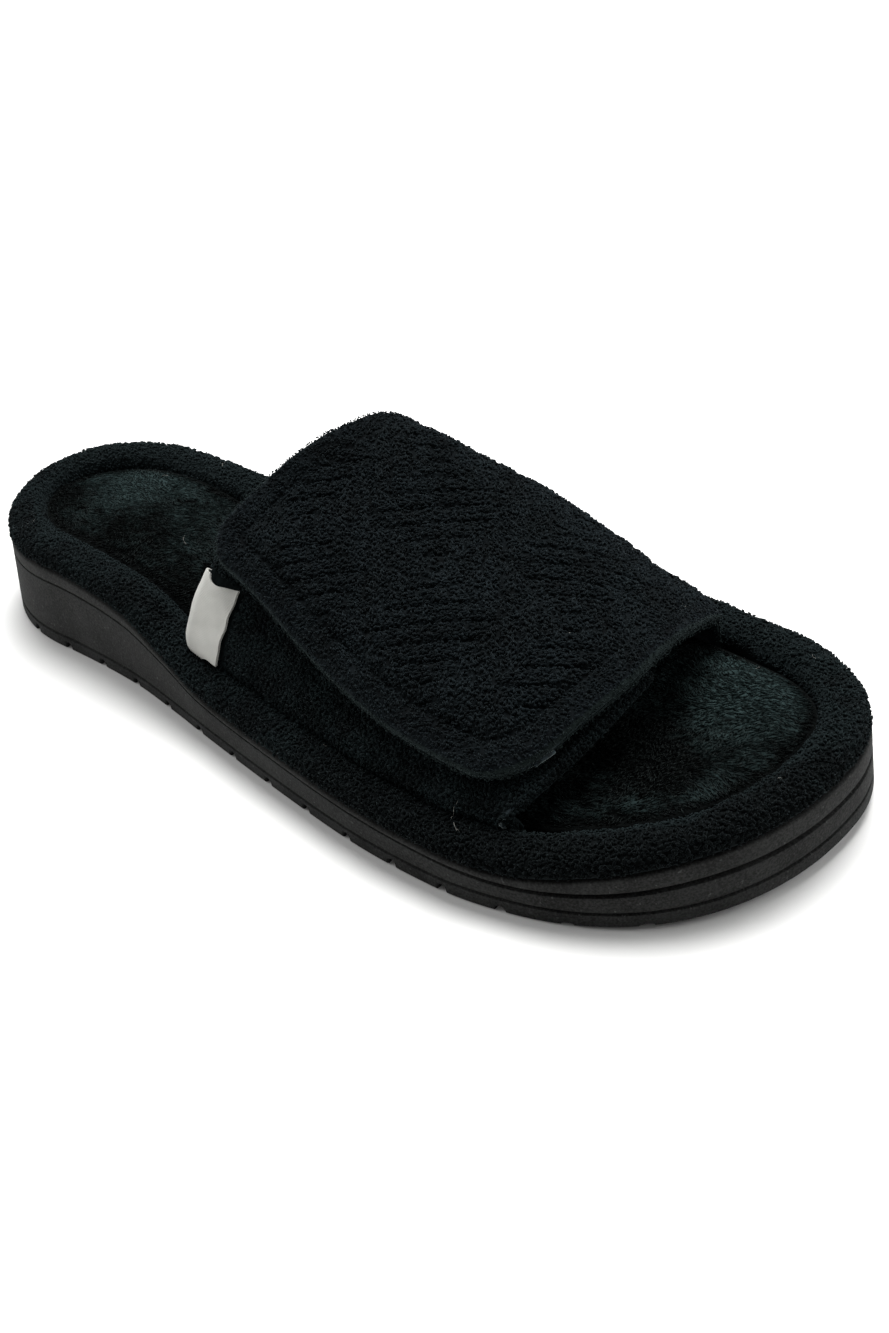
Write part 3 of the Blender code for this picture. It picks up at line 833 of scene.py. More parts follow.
def wall(full, span):
    """Thickness of a padded wall, which thins to its margin in the seam."""
    return mix(TUCK_THICKNESS, full, smooth_step(np.minimum(span, 1.0 - span) / SEAM_TAPER))


def flap_span(along):
    """Lower edge of the flap, with its two corners rounded."""
    corner = np.where(along < 0.5, FLAP_REAR_CORNER, FLAP_FRONT_CORNER)
    reach = np.maximum(1.0 - np.minimum(along, 1.0 - along) * STRAP_LENGTH / corner, 0.0)
    lift = corner / arch_length(0.5) * (1.0 - np.sqrt(np.maximum(1.0 - reach * reach, 0.0)))
    return read(FLAP_ROWS, "span", along) + lift


def lattice_noise(points, size, seed):
    """Soft random heights from -1 to 1 at points, with lumps of a given size."""
    table = np.random.default_rng(seed).uniform(-1.0, 1.0, 4096)
    place = points / size
    cell = np.floor(place).astype(np.int64)
    part = smooth_step(place - cell)
    total = np.zeros(points.shape[:-1])
    for corner in itertools.product((0, 1), repeat=3):
        key = (cell + corner) * (73856093, 19349663, 83492791)
        index = (key[..., 0] ^ key[..., 1] ^ key[..., 2]) % len(table)
        weight = np.prod(np.where(corner, part, 1.0 - part), axis=-1)
        total += weight * table[index]
    return total


def lumps(points, rows):
    """Sum of soft random heights at points, by the rows of their lumps."""
    return sum(lattice_noise(points, row.size, row.seed) * row.height for row in rows)


def edge_steps(count, lead, trail, width, half):
    """Shares from 0 to 1, closer together at the edges that are rounded."""
    turned = half / width
    close = turned * (1.0 - np.cos(np.linspace(0.0, 0.5 * math.pi, 8)))
    close[0] = SEAM_DEPTH / width
    inner = np.linspace(0.0, 1.0, count + 1)
    if lead:
        inner = np.concatenate((close, inner[inner > 1.25 * turned]))
    if trail:
        inner = np.concatenate((inner[inner < 1.0 - 1.25 * turned], 1.0 - close[::-1]))
    return inner


def grid_quads(rows, columns, closed=False, first=0):
    """Quads of a grid of points."""
    across = np.arange(columns if closed else columns - 1)
    low = np.arange(rows - 1)[:, None] * columns + across
    next_low = np.arange(rows - 1)[:, None] * columns + (across + 1) % columns
    return np.stack((low, next_low, next_low + columns, low + columns), -1).reshape(-1, 4) + first


def cross_quads(count, half, first=0):
    """Quads across a ring of points, between its lateral and its medial half."""
    lower = np.arange(half)
    upper = -lower % count
    return np.stack((lower[:-1], lower[1:], upper[1:], upper[:-1]), -1) + first


def whole_faces(parts):
    """Faces without repeated corners."""
    return [tuple(dict.fromkeys(face)) for face in np.concatenate(parts).tolist()]


def make_mesh(name, points, faces, finish):
    """Smooth object from points and faces, facing out."""
    mesh = bpy.data.meshes.new(name)
    mesh.from_pydata(points.reshape(-1, 3), [], faces)
    made = bmesh.new()
    made.from_mesh(mesh)
    bmesh.ops.recalc_face_normals(made, faces=made.faces)
    made.to_mesh(mesh)
    made.free()
    mesh.shade_smooth()
    mesh.materials.append(finish.material)
    piece = bpy.data.objects.new(name, mesh)
    bpy.context.scene.collection.objects.link(piece)
    return piece


def shell(inner, outer):
    """Points and quads of a closed wall from the grids of its two faces."""
    rows, columns = inner.shape[:2]
    size = rows * columns
    points = np.concatenate((outer.reshape(-1, 3), inner.reshape(-1, 3)))
    grid = np.arange(size).reshape(rows, columns)
    faces = [grid_quads(rows, columns), grid_quads(rows, columns, first=size)[:, ::-1]]
    for border in (grid[0], grid[-1][::-1], grid[:, 0][::-1], grid[:, -1]):
        faces.append(np.stack((border[1:], border[:-1], border[:-1] + size, border[1:] + size), -1))
    return points, np.concatenate(faces)


def free_thickness(middle, edges, half):
    """Share of the wall left near its turned edges, and the distance to them."""
    border = np.concatenate(edges)
    tree = KDTree(len(border))
    for index, point in enumerate(border):
        tree.insert(point, index)
    tree.balance()
    flat = middle.reshape(-1, 3)
    distance = np.array([tree.find(point)[2] for point in flat]).reshape(middle.shape[:2])
    return np.sqrt(np.clip(1.0 - (1.0 - np.minimum(distance / half, 1.0)) ** 2, 0.02, 1.0)), distance


def numbers(data, kind):
    """Values that a mesh holds, as an array."""
    whole = kind == "vertex_index"
    held = np.empty(len(data) * (1 if whole else 3), np.int32 if whole else np.float32)
    data.foreach_get(kind, held)
    return held if whole else held.reshape(-1, 3).astype(float)


# Forms of a loop and of a hair: ends in half sizes, and triangles
LOOP_FORM = (
    np.array(((1, 0, 0), (-1, 0, 0), (0, 1, 0), (0, -1, 0), (0, 0, 1), (0, 0, -1))),
    np.array(((0, 2, 4), (2, 1, 4), (1, 3, 4), (3, 0, 4), (2, 0, 5), (1, 2, 5), (3, 1, 5), (0, 3, 5))),
)
HAIR_FORM = (
    np.array(((1, 0, 0.8), (-1, 0, 0.2), (-0.2, 1, -0.6), (-0.2, -1, -0.6))),
    np.array(((0, 2, 1), (0, 1, 3), (0, 3, 2), (1, 2, 3))),
)


def pile(
    name,
    piece,
    weights,
    count,
    half_sizes,
    finish,
    seed,
    form=LOOP_FORM,
    lie=None,
    spread=0.6,
    rise=(0.05, 0.95),
    grow=None,
    judge=None,
    laid=None,
):
    """Small leaning loops or hairs all over a piece, thicker where the weight of a face is higher.

    They lie every way, or spread about the directions in lie, one for each face. Their sizes are
    multiplied by grow, and their finish reads the painted light and shade given for each face. Judge
    says how likely each is kept, from the corners of its face and its shares of them.
    """
    mesh = piece.data
    random = np.random.default_rng(seed)
    faces = numbers(mesh.loops, "vertex_index").reshape(-1, 4)
    points = numbers(mesh.vertices, "co")
    normals = numbers(mesh.vertices, "normal")
    corners = points[faces]
    area = 0.5 * np.linalg.norm(
        np.cross(corners[:, 2] - corners[:, 0], corners[:, 3] - corners[:, 1]), axis=1
    )
    total = np.cumsum(area * weights)
    tried = round(1.4 * count) if judge else count
    wanted = (np.arange(tried) + random.uniform(0.0, 1.0, tried)) / tried * total[-1]
    chosen = np.minimum(np.searchsorted(total, wanted), len(total) - 1)
    a, b = random.uniform(0.0, 1.0, (2, tried, 1))
    share = np.stack(((1 - a) * (1 - b), a * (1 - b), a * b, (1 - a) * b), 1)
    if judge:
        kept = np.flatnonzero(random.uniform(0.0, 1.0, tried) < judge(faces[chosen], share))
        kept = np.sort(random.choice(kept, min(count, len(kept)), replace=False))
        chosen, share, count = chosen[kept], share[kept], len(kept)
    base = (points[faces[chosen]] * share).sum(1)
    up = unit((normals[faces[chosen]] * share).sum(1))
    if lie is None:
        turn = random.uniform(0.0, 2.0 * math.pi, (count, 1))
        side = unit(np.cross(up, (0.31, 0.57, 0.76)))
    else:
        turn = random.normal(0.0, spread, (count, 1)) + math.pi * random.integers(0, 2, (count, 1))
        side = unit(lie[chosen] - up * (lie[chosen] * up).sum(1, keepdims=True))
    lying = side * np.cos(turn) + np.cross(up, side) * np.sin(turn)
    axis = unit(lying + up * random.uniform(*rise, (count, 1)))
    across = unit(np.cross(up, lying))
    top = np.cross(axis, across)
    length, width, height = half_sizes
    size = random.uniform(0.7, 1.3, (count, 1))
    if grow is not None:
        size *= grow[chosen][:, None]
    middle = base + up * height * random.uniform(0.0, 1.3, (count, 1))
    ends, triangles = form
    spans = (axis * length * size, across * width * size, top * height * size)
    made = middle[:, None] + sum(ends[None, :, i, None] * span[:, None] for i, span in enumerate(spans))
    all_faces = (triangles[None] + len(ends) * np.arange(count)[:, None, None]).reshape(-1, 3)
    loops = make_mesh(name, made.reshape(-1, 3), all_faces, finish)
    if laid is not None:
        mark(loops, np.repeat(laid[chosen], len(ends)))
    return loops


def cord(path, radius, sides, guide, first=0):
    """Points and faces of a thin cord along a path, which never runs along the guide."""
    along = unit(np.gradient(path, axis=0))
    side = unit(np.cross(along, guide))
    over = np.cross(along, side)
    turn = np.arange(sides) * 2.0 * math.pi / sides
    ring = side[:, None] * np.cos(turn)[:, None] + over[:, None] * np.sin(turn)[:, None]
    points = path[:, None] + ring * np.broadcast_to(radius, len(path))[:, None, None]
    last = first + (len(path) - 1) * sides
    faces = [tuple(face) for face in grid_quads(len(path), sides, closed=True, first=first).tolist()]
    faces += [tuple(range(first, first + sides)), tuple(range(last, last + sides))]
    return points.reshape(-1, 3), faces


def brushed_edge(name, path, finish, slot):
    """Thin brushed cord along the turned edge of a wall, in a painted highlight finish."""
    points, faces = cord(trimmed(path), EDGE_BEAD, EDGE_SIDES, EDGE_GUIDE)
    settle(make_mesh(name, points, faces, finish), slot)


def folds(rows, place, span):
    """Heights of soft creases at places along and over a wall."""
    total = np.zeros(place.shape)
    for row in rows:
        over = (span - row.span) / row.length
        away = (place - row.along - row.lean * (span - row.span)) / row.reach
        total += row.amount * np.exp(-away * away - over * over)
    return total


def spots(rows, x, y):
    """Sum of soft round spots at places on the insole."""
    total = np.zeros(x.shape)
    for row in rows:
        total += row.amount * np.exp(-((x - row.x) ** 2 + (y - row.y) ** 2) / row.reach**2)
    return total


def mark(piece, values):
    """Keep the painted light and shade at each point, for the finish to read."""
    layer = piece.data.attributes.new("laid", "FLOAT", "POINT")
    layer.data.foreach_set("value", np.asarray(values, np.float32))


def settle(piece, slot, *nodes):
    """Let a piece ride with the slipper, and stand for its solid."""
    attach(piece, "root")
    if nodes:
        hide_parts(*nodes)


def terry_finish(name, colour, shade=1.0, mottle=0.0):
    """Black looped terry, with lighter and darker patches by mottle, the painted light and shade that mark
    keeps, and a painted highlight tint where that is strongest.
    """
    finish = Finish(name, 0.95, sheen=0.04, sheen_tint=(0.7, 0.93, 1.0), specular=0.06)
    tone = finish.noise(0.0016, 1.0)
    patch = finish.noise(0.009, 3.0)
    laid = finish.laid()
    share = finish.ease(tone * 0.45 + patch * (0.55 + mottle) - 0.5 * mottle + laid, 0.30, 0.70)
    dark = tinted(colour, 0.35 * shade)
    light = tinted(colour, 1.75 * shade)
    # Painted highlight: where the painted light is strongest, the colour turns to the highlight tint
    edge = finish.ease(laid + tone * 0.3, 0.85, 1.25)
    finish.paint(finish.blend(edge, finish.blend(share, dark, light), EDGE_HIGHLIGHT_TINT))
    finish.bump(finish.noise(0.0008, 1.0), 0.0003, 0.5)
    return finish


def edge_highlight_finish(colour):
    """Brushed edge of the terry's backing, painted lighter as a highlight where it catches the light."""
    finish = Finish("edge_nap", 0.9, sheen=0.25, sheen_tint=(0.8, 0.95, 0.95), specular=0.15)
    tone = finish.noise(0.0012, 2.0)
    finish.paint(finish.blend(finish.ease(tone, 0.3, 0.6), tinted(colour, 2.0), tinted(colour, 7.0)))
    finish.bump(tone, 0.0003, 0.8)
    return finish


def velour_finish(name, colour, shade=1.0):
    """Black brushed velour with random streaks and patches, painted lighter and darker by the painted
    light and shade that mark keeps.
    """
    finish = Finish(name, 0.9, sheen=0.025, sheen_roughness=0.4, sheen_tint=(0.8, 1.0, 0.97), specular=0.03)
    streaks = finish.noise(0.0020, 3.0, stretch=(0.45, 1.0, 1.0))
    patch = finish.noise(0.008, 3.0)
    laid = finish.laid()
    share = finish.ease(laid + streaks * 0.9 + patch * 0.7 - 0.62, 0.0, 1.0)
    dark = tinted(colour, 0.2 * shade)
    light = tinted(colour, 7.5 * shade)
    finish.paint(finish.blend(share, dark, light))
    finish.bump(streaks + finish.noise(0.0007, 2.0) * 0.5, 0.0009, 0.9)
    return finish


def rubber_finish(colour):
    """Matt black moulded rubber, with a fine pale dust in its grain."""
    finish = Finish("sole_rubber", 0.8, specular=0.12)
    grain = finish.noise(0.0006, 2.0)
    patch = finish.noise(0.014, 3.0)
    share = finish.ease(grain * 0.6 + patch * 0.4, 0.34, 0.68)
    moulded = finish.blend(share, tinted(colour, 0.45), tinted(colour, 1.6))
    dust = finish.ease(finish.noise(0.0011, 2.0), 0.66, 0.76)
    finish.paint(finish.blend(dust * 0.35, moulded, tinted(colour, 6.0)))
    finish.rough(0.72 + patch * 0.2)
    finish.bump(grain, 0.0002, 0.7)
    return finish


def lint_finish():
    """Pale stray fibre."""
    finish = Finish("lint", 0.8, sheen=0.3, specular=0.2)
    tone = finish.noise(0.0009, 1.0)
    finish.paint(finish.blend(tone, (0.10, 0.10, 0.09), (0.34, 0.33, 0.30)))
    return finish


def tape_finish(colour):
    """Off-white woven tape."""
    finish = Finish("tag_tape", 0.7, sheen=0.2, specular=0.3)
    weave = finish.node(
        "ShaderNodeTexWave",
        {"wave_type": "BANDS", "bands_direction": "DIAGONAL"},
        {"Vector": finish.place(), "Scale": 900.0, "Distortion": 0.6, "Detail": 1.0, "Detail Scale": 3.0},
        output="Fac",
    )
    soil = finish.noise(0.004, 3.0)
    share = finish.ease(weave * 0.35 + soil * 0.65, 0.2, 0.75)
    finish.paint(finish.blend(share, tinted(colour, 0.82), colour))
    finish.bump(weave, 0.0001, 0.7)
    return finish


def side_profile(x):
    """Outer side of the sole at places along X: depths and heights, from the tread to the deck."""
    station = station_of(x)
    floor = floor_height(x)
    deck = deck_height(x)
    notch = tread_notch(x)
    low = floor + LOWER_GROOVE_HEIGHT
    bumper = deck - HEEL_HEIGHT * read(SOLE_ROWS, "lip", station)
    size = read(SOLE_ROWS, "groove", station)
    half_low = 0.5 * LOWER_GROOVE_WIDTH
    half_high = 0.5 * BUMPER_GROOVE_WIDTH * size
    depth = BUMPER_GROOVE_DEPTH * size
    leaned = lean(x)
    rows = []

    def add(depth_in, height):
        draft = leaned * np.clip((height - floor) / (deck - floor), 0.0, 1.0)
        rows.append((draft + depth_in, height))

    bottom = floor + notch
    for turn in (0.0, 0.25, 0.5, 0.75, 1.0):
        angle = 0.5 * math.pi * turn
        add(EDGE_ROUND * (1.0 - math.sin(angle)), bottom + EDGE_ROUND * (1.0 - math.cos(angle)))
    add(0.0 * x, mix(bottom + EDGE_ROUND, low - 1.8 * half_low, 0.5))
    for across, in_share in GROOVE_SHARES:
        add(LOWER_GROOVE_DEPTH * in_share + 0.0 * x, low + across * half_low)
    add(0.0 * x, mix(low + 1.8 * half_low, bumper - 1.8 * half_high, 0.33))
    add(0.0 * x, mix(low + 1.8 * half_low, bumper - 1.8 * half_high, 0.67))
    for across, in_share in GROOVE_SHARES:
        add(depth * in_share, bumper + across * half_high)
    for turn in (0.0, 0.3, 0.6, 1.0):
        angle = 0.5 * math.pi * turn
        add(
            0.8 * EDGE_ROUND * (1.0 - math.cos(angle)) + 0.0 * x,
            deck - 0.8 * EDGE_ROUND * (1.0 - math.sin(angle)),
        )
    return rows


def tread_grooves():
    """Places of the tread's cross grooves along X."""
    first = TREAD_FIRST - 0.5 * SOLE_LENGTH
    return np.arange(first, 0.5 * SOLE_LENGTH - TREAD_PITCH, TREAD_PITCH)


def tread_notch(x):
    """Depth of the cross grooves at places along X."""
    away = np.min(np.abs(np.asarray(x)[..., None] - tread_grooves()), axis=-1)
    shallow = mix(NOTCH_RISE, NOTCH_TOE, ramp(np.asarray(x), NOTCH_FALL_START, NOTCH_FALL))
    return np.sqrt(np.maximum(TREAD_RADIUS**2 - away**2, 0.0)) * shallow


def make_outsole(finish):
    """Rubber unit sole: its side with both grooves, its toe bumper and its cross-grooved tread."""
    angles = [even_angles(SOLE_STEP)]
    for place in tread_grooves():
        near = place + TREAD_RADIUS * np.array((-1.02, -1.0, -0.96, -0.85, -0.65, -0.35, 0.0))
        near = np.concatenate((near, 2.0 * place - near[:-1]))
        angles.append(side_angle(near, LATERAL))
    half = np.unique(np.concatenate(angles))
    ring = ring_of(half)
    x = outline(ring)[..., 0]
    rows = []
    for depth, height in side_profile(x):
        rows.append(np.concatenate((inset(ring, depth), height[:, None]), -1))
    rows = np.array(rows)
    count = len(ring)
    faces = [
        grid_quads(len(rows), count, closed=True),
        cross_quads(count, len(half)),
        cross_quads(count, len(half), (len(rows) - 1) * count)[:, ::-1],
    ]
    piece = make_mesh("sole", rows, whole_faces(faces), finish)
    piece.data.set_sharp_from_angle(angle=SOLE_CREASE)
    settle(piece, "rubber", "outsole")


def closed_curve(rows, count):
    """Points spaced evenly on a smooth closed curve through a table's rows."""
    points = np.array([(row.across, row.up) for row in rows])
    scaled = points * (RIM_WIDTH - RIM_SETBACK, RIM_RISE)
    steps = np.linspace(0.0, 1.0, 24, endpoint=False)[:, None]
    dense = []
    for index in range(len(points)):
        p0, p1, p2, p3 = (scaled[(index + shift) % len(points)] for shift in (-1, 0, 1, 2))
        if index == len(points) - 1:
            dense.append(mix(p1, p2, steps))
            continue
        m1 = 0.5 * (p2 - p0) if index else p2 - p1
        m2 = 0.5 * (p3 - p1) if index < len(points) - 2 else p2 - p1
        t = steps
        dense.append(
            p1 * (1 + 2 * t) * (1 - t) ** 2
            + m1 * t * (1 - t) ** 2
            + p2 * t * t * (3 - 2 * t)
            - m2 * t * t * (1 - t)
        )
    dense = np.concatenate(dense)
    around = np.concatenate((dense, dense[:1]))
    length = length_along(around)
    wanted = np.linspace(0.0, length[-1], count, endpoint=False)
    place = np.stack([np.interp(wanted, length, around[:, axis]) for axis in (0, 1)], -1)
    return place / (RIM_WIDTH - RIM_SETBACK, RIM_RISE)


def ramp_both(x, y, eases):
    """Ease from 0 to 1 along X and along Y."""
    return ramp(x, *eases[0]) * ramp(y, *eases[1])


def loop_sizes(sizes, share=1.0):
    """Half sizes of a loop."""
    return [share * size for size in (sizes.loop_length, sizes.loop_width, sizes.loop_rise)]


def rim_swell(points):
    """How much higher the roll stands round the heel, as a share."""
    heel = ramp(points[..., 0], *HEEL_SWELL_EASE)
    return 1.0 + heel * mix(OUTER_SWELL, HEEL_SWELL, ramp(points[..., 1], *INNER_SWELL_EASE))


def rim_painted_light(points):
    """Painted light and shade on the rim's pile: lighter on its far side and at the heel, painted shade along
    the near side and near the toe.
    """
    x, y = points[:, 0], points[:, 1]
    near = np.maximum(ramp_both(x, y, NEAR_SIDE), ramp_both(x, y, NEAR_TOE))
    far = ramp(y, *FAR_SIDE)
    return FAR_LIGHT * far + HEEL_LIGHT * ramp_both(x, y, FAR_HEEL) - NEAR_SHADE * near


def make_rim(finish, pile_finish, sizes):
    """Terry-covered roll round the footbed, with its loops."""
    ring = ring_of(even_angles(RIM_STEP))
    section = closed_curve(RIM_ROWS, RIM_POINTS)
    rows = []
    for across, up in section:
        rows.append(
            ring_row(
                ring,
                lambda x, across=across: mix(RIM_SETBACK, RIM_WIDTH + tuck_fill(x), across),
                lambda x, up=up: deck_height(x) + FIT + up * RIM_RISE * read(SOLE_ROWS, "rim", station_of(x)),
            )
        )
    rows = np.array(rows)
    base = rows[np.argmin(section[:, 1])][None, :, 2]
    rows[..., 2] = base + (rows[..., 2] - base) * rim_swell(rows)
    rows[..., 2] += lumps(rows, RIM_LUMPS) * smooth_step(section[:, 1] / 0.5)[:, None]
    count = len(ring)
    around = np.arange(count)
    after = (around + 1) % count
    last = (len(rows) - 1) * count
    closing = np.stack((last + around, last + after, after, around), -1)
    faces = np.concatenate((grid_quads(len(rows), count, closed=True), closing))
    piece = make_mesh("rim", rows, faces, finish)
    settle(piece, "rim_terry", "footbed_rim")
    shown = (section[:, 1] > 0.08) & ~((section[:, 0] > 0.98) & (section[:, 1] < 0.45))
    short = mix(1.0, 0.7, ramp(section[:, 0], 0.55, 0.35))
    weights = np.repeat(shown.astype(float), count)
    along = unit(np.roll(rows, -1, axis=1) - rows).reshape(-1, 3)
    # Painted highlight along the rim's inner crest, added to the painted light and shade round its sides
    crest = np.exp(-(((section[:, 0] - CREST_PLACE) / CREST_REACH) ** 2)) * (section[:, 1] > 0.5)
    light = rim_painted_light(rows.reshape(-1, 3)) + CREST_HIGHLIGHT * np.repeat(crest, count)
    loops = pile(
        "rim_loops",
        piece,
        weights,
        sizes.rim_loops,
        loop_sizes(sizes, sizes.rim_share),
        pile_finish,
        PILE_SEEDS["rim"],
        lie=along,
        spread=1.1,
        grow=np.repeat(short, count),
        laid=light,
    )
    mark(piece, light)
    settle(loops, "rim_terry")


def tuck_share(x):
    """How far the insole makes room for the strap's margins."""
    rear = STRAP_REAR - 0.5 * SOLE_LENGTH - TUCK_CLEAR - TUCK_EASE
    front = STRAP_FRONT - 0.5 * SOLE_LENGTH + TUCK_CLEAR + TUCK_EASE
    return ramp(x, rear, TUCK_EASE) * ramp(x, front, -TUCK_EASE)


def tuck_fill(x):
    """How far the rim swells inward beyond the strap's ends, to meet the insole."""
    rear = STRAP_REAR - 0.5 * SOLE_LENGTH - FILL_PAST
    front = STRAP_FRONT - 0.5 * SOLE_LENGTH + FILL_PAST
    inside = ramp(x, rear, FILL_EASE) * ramp(x, front, -FILL_EASE)
    return FILL_SHARE * TUCK_THICKNESS * tuck_share(x) * (1.0 - inside)


def make_insole(finish, pile_finish, sizes):
    """Velour-covered insole pad inside the rim, crowned across and trodden, with its nap."""
    half = even_angles(INSOLE_STEP)
    ring = ring_of(half)
    count = len(ring)

    def edge(x):
        return RIM_WIDTH + FIT + tuck_share(x) * (TUCK_THICKNESS + FIT)

    def bottom(x):
        return deck_height(x) + FIT

    def fall(x):
        return read(SOLE_ROWS, "insole", station_of(x))

    def top(x):
        return bottom(x) + INSOLE_THICKNESS * fall(x) + HEEL_PAD * ramp(x, *HEEL_PAD_EASE)

    def side(x, angle):
        return top(x) - EDGE_FALL * fall(x) - 0.6 * INSOLE_EDGE * (1.0 - math.sin(angle))

    def on_faces(values):
        return np.pad(values, ((0, 0), (1, 1)), mode="edge")[:-1, :-1].ravel()

    rows = [ring_row(ring, edge, bottom)]
    for turn in (0.0, 0.3, 0.6, 0.85, 1.0):
        angle = 0.5 * math.pi * turn
        rows.append(
            ring_row(
                ring,
                lambda x, angle=angle: edge(x) + INSOLE_EDGE * (1.0 - math.cos(angle)),
                lambda x, angle=angle: side(x, angle),
            )
        )
    rows = np.array(rows)
    faces = [grid_quads(len(rows), count, closed=True), cross_quads(count, len(half))]
    lower = np.arange(len(half))
    upper = -lower % count
    last = rows[-1]
    near = last[: len(half)][1:-1, None]
    far = last[upper[1:-1]][:, None]
    across = np.linspace(0.0, 1.0, INSOLE_POINTS)[None, 1:-1, None]
    place = mix(near, far, across)
    station = station_of(place[..., 0])
    ends = smooth_step(station / INSOLE_ENDS) * smooth_step((1.0 - station) / INSOLE_ENDS)
    crown = INSOLE_CROWN * (1.0 - (2.0 * across[..., 0] - 1.0) ** 2) * ends
    place[..., 2] = top(place[..., 0])
    inward = free_thickness(place, (last,), EDGE_FALL)[1]
    place[..., 2] += crown - EDGE_FALL * fall(place[..., 0]) * (1.0 - smooth_step(inward / EDGE_FALL_WIDTH))
    calm = smooth_step(inward / 0.004)
    trodden = spots(DENT_ROWS, place[..., 0], place[..., 1])
    nap = lumps(place * STREAK_STRETCH, STREAK_LUMPS) + lumps(place, INSOLE_LUMPS)
    pitted = ramp(lattice_noise(place, PITTED.size, PITTED.seed), *PITTED_EASE)
    pits = ramp(lattice_noise(place, PITS.size, PITS.seed), *PITS_EASE) * pitted * PITS.height
    place[..., 2] += (nap + trodden - pits) * calm
    grid_rows, grid_columns = place.shape[:2]
    first = len(rows) * count
    points = np.concatenate((rows.reshape(-1, 3), place.reshape(-1, 3)))
    grid = first + np.arange(grid_rows * grid_columns).reshape(grid_rows, grid_columns)
    base = (len(rows) - 1) * count
    full = np.concatenate(((base + lower[1:-1])[:, None], grid, (base + upper[1:-1])[:, None]), 1)
    quads = np.stack((full[:-1, :-1], full[1:, :-1], full[1:, 1:], full[:-1, 1:]), -1)
    faces.append(quads.reshape(-1, 4))
    for tip, row in ((base, full[0]), (base + len(half) - 1, full[-1])):
        faces.append(np.stack((np.full(len(row) - 1, tip), row[:-1], row[1:], row[1:]), -1))
    piece = make_mesh("insole_pad", points, whole_faces(faces), finish)
    settle(piece, "velour", "insole")
    # Painted light and shade on the nap: patches where it lies towards or away from the light, painted shade
    # in the pits, along the edge by the rim and on the pad's sides
    laid = spots(NAP_AND_PAINTED_LIGHT_ROWS, place[..., 0], place[..., 1]) - PIT_SHADE * pits
    laid += NAP_LIGHT - NAP_EDGE_SHADE * (1.0 - smooth_step(inward / NAP_EDGE_WIDTH))
    mark(piece, np.concatenate((np.full(first, NAP_SIDE_SHADE), laid.ravel())))
    weights = on_faces(np.clip(1.0 - PIT_SPARSE * pits, PIT_LEAST, 1.0))
    top_mesh = make_mesh("insole_nap", points[full], grid_quads(*full.shape), finish)
    turned = on_faces(NAP_TURN + lumps(place, NAP_TURNS))
    hairs = pile(
        "insole_hairs",
        top_mesh,
        weights,
        sizes.nap_hairs,
        (sizes.nap_length, sizes.nap_width, sizes.nap_rise),
        pile_finish,
        PILE_SEEDS["insole"],
        form=HAIR_FORM,
        lie=np.stack((np.cos(turned), np.sin(turned), 0.0 * turned), -1),
        spread=0.28,
        rise=(0.0, 0.16),
        laid=on_faces(laid),
    )
    settle(hairs, "velour")
    bpy.data.meshes.remove(top_mesh.data)


def foot_rows(along, side):
    """Inner and outer margin of a wall in the seam, as columns of its grids."""
    rows = []
    for depth in (RIM_WIDTH + FIT + TUCK_THICKNESS, RIM_WIDTH + FIT):
        foot = seam(along, side, depth)
        rows.append(np.concatenate((foot, (deck_height(foot[:, 0]) + FIT)[:, None]), -1)[:, None])
    return rows


def emboss(u, v, sizes):
    """Depth of the nested squares at places on the strap, as a share, and whether the line runs up."""
    cell = sizes.lines * sizes.spacing
    p = u * math.cos(sizes.turn) + v * math.sin(sizes.turn) - sizes.start
    q = u * math.sin(sizes.turn) - v * math.cos(sizes.turn) - sizes.start
    column = np.floor(p / cell + 0.5)
    p = p - column * cell
    q = np.mod(q - 0.5 * cell * column + 0.5 * cell, cell) - 0.5 * cell
    level = 0.5 * cell - np.maximum(np.abs(p), np.abs(q))
    away = np.abs(np.mod(level + 0.5 * sizes.spacing, sizes.spacing) - 0.5 * sizes.spacing)
    return 1.0 - smooth_step(away / sizes.width), np.abs(p) > np.abs(q)


def strap_grid(along, share):
    """Middle of the strap's wall, its normals, thickness and place over the foot."""
    along, share = np.meshgrid(along, share, indexing="ij")
    start = flap_span(along)
    span = mix(start, 1.0, share)
    free_side = smooth_step((FREE_SPAN - span) / FREE_RAMP)
    rear = FLAP_REAR_SETBACK / STRAP_LENGTH * free_side
    place = mix(rear, 1.0 - FLAP_SETBACK / STRAP_LENGTH * free_side, along)
    lift = FLAP_LIFT * free_side * (1.0 - smooth_step(along / LIFT_REACH))
    full = np.where(span > FREE_SPAN, wall(STRAP_THICKNESS, span), STRAP_THICKNESS)
    crest = np.exp(-(((span - CREST_SPAN) / CREST_WIDTH) ** 2) - (place / CREST_LENGTH) ** 2)
    normal = arch_normal(place, span)
    middle = arch(place, span) + normal * (lift + CREST_RISE * crest + 0.5 * full)[..., None]
    return middle, normal, full, place, span


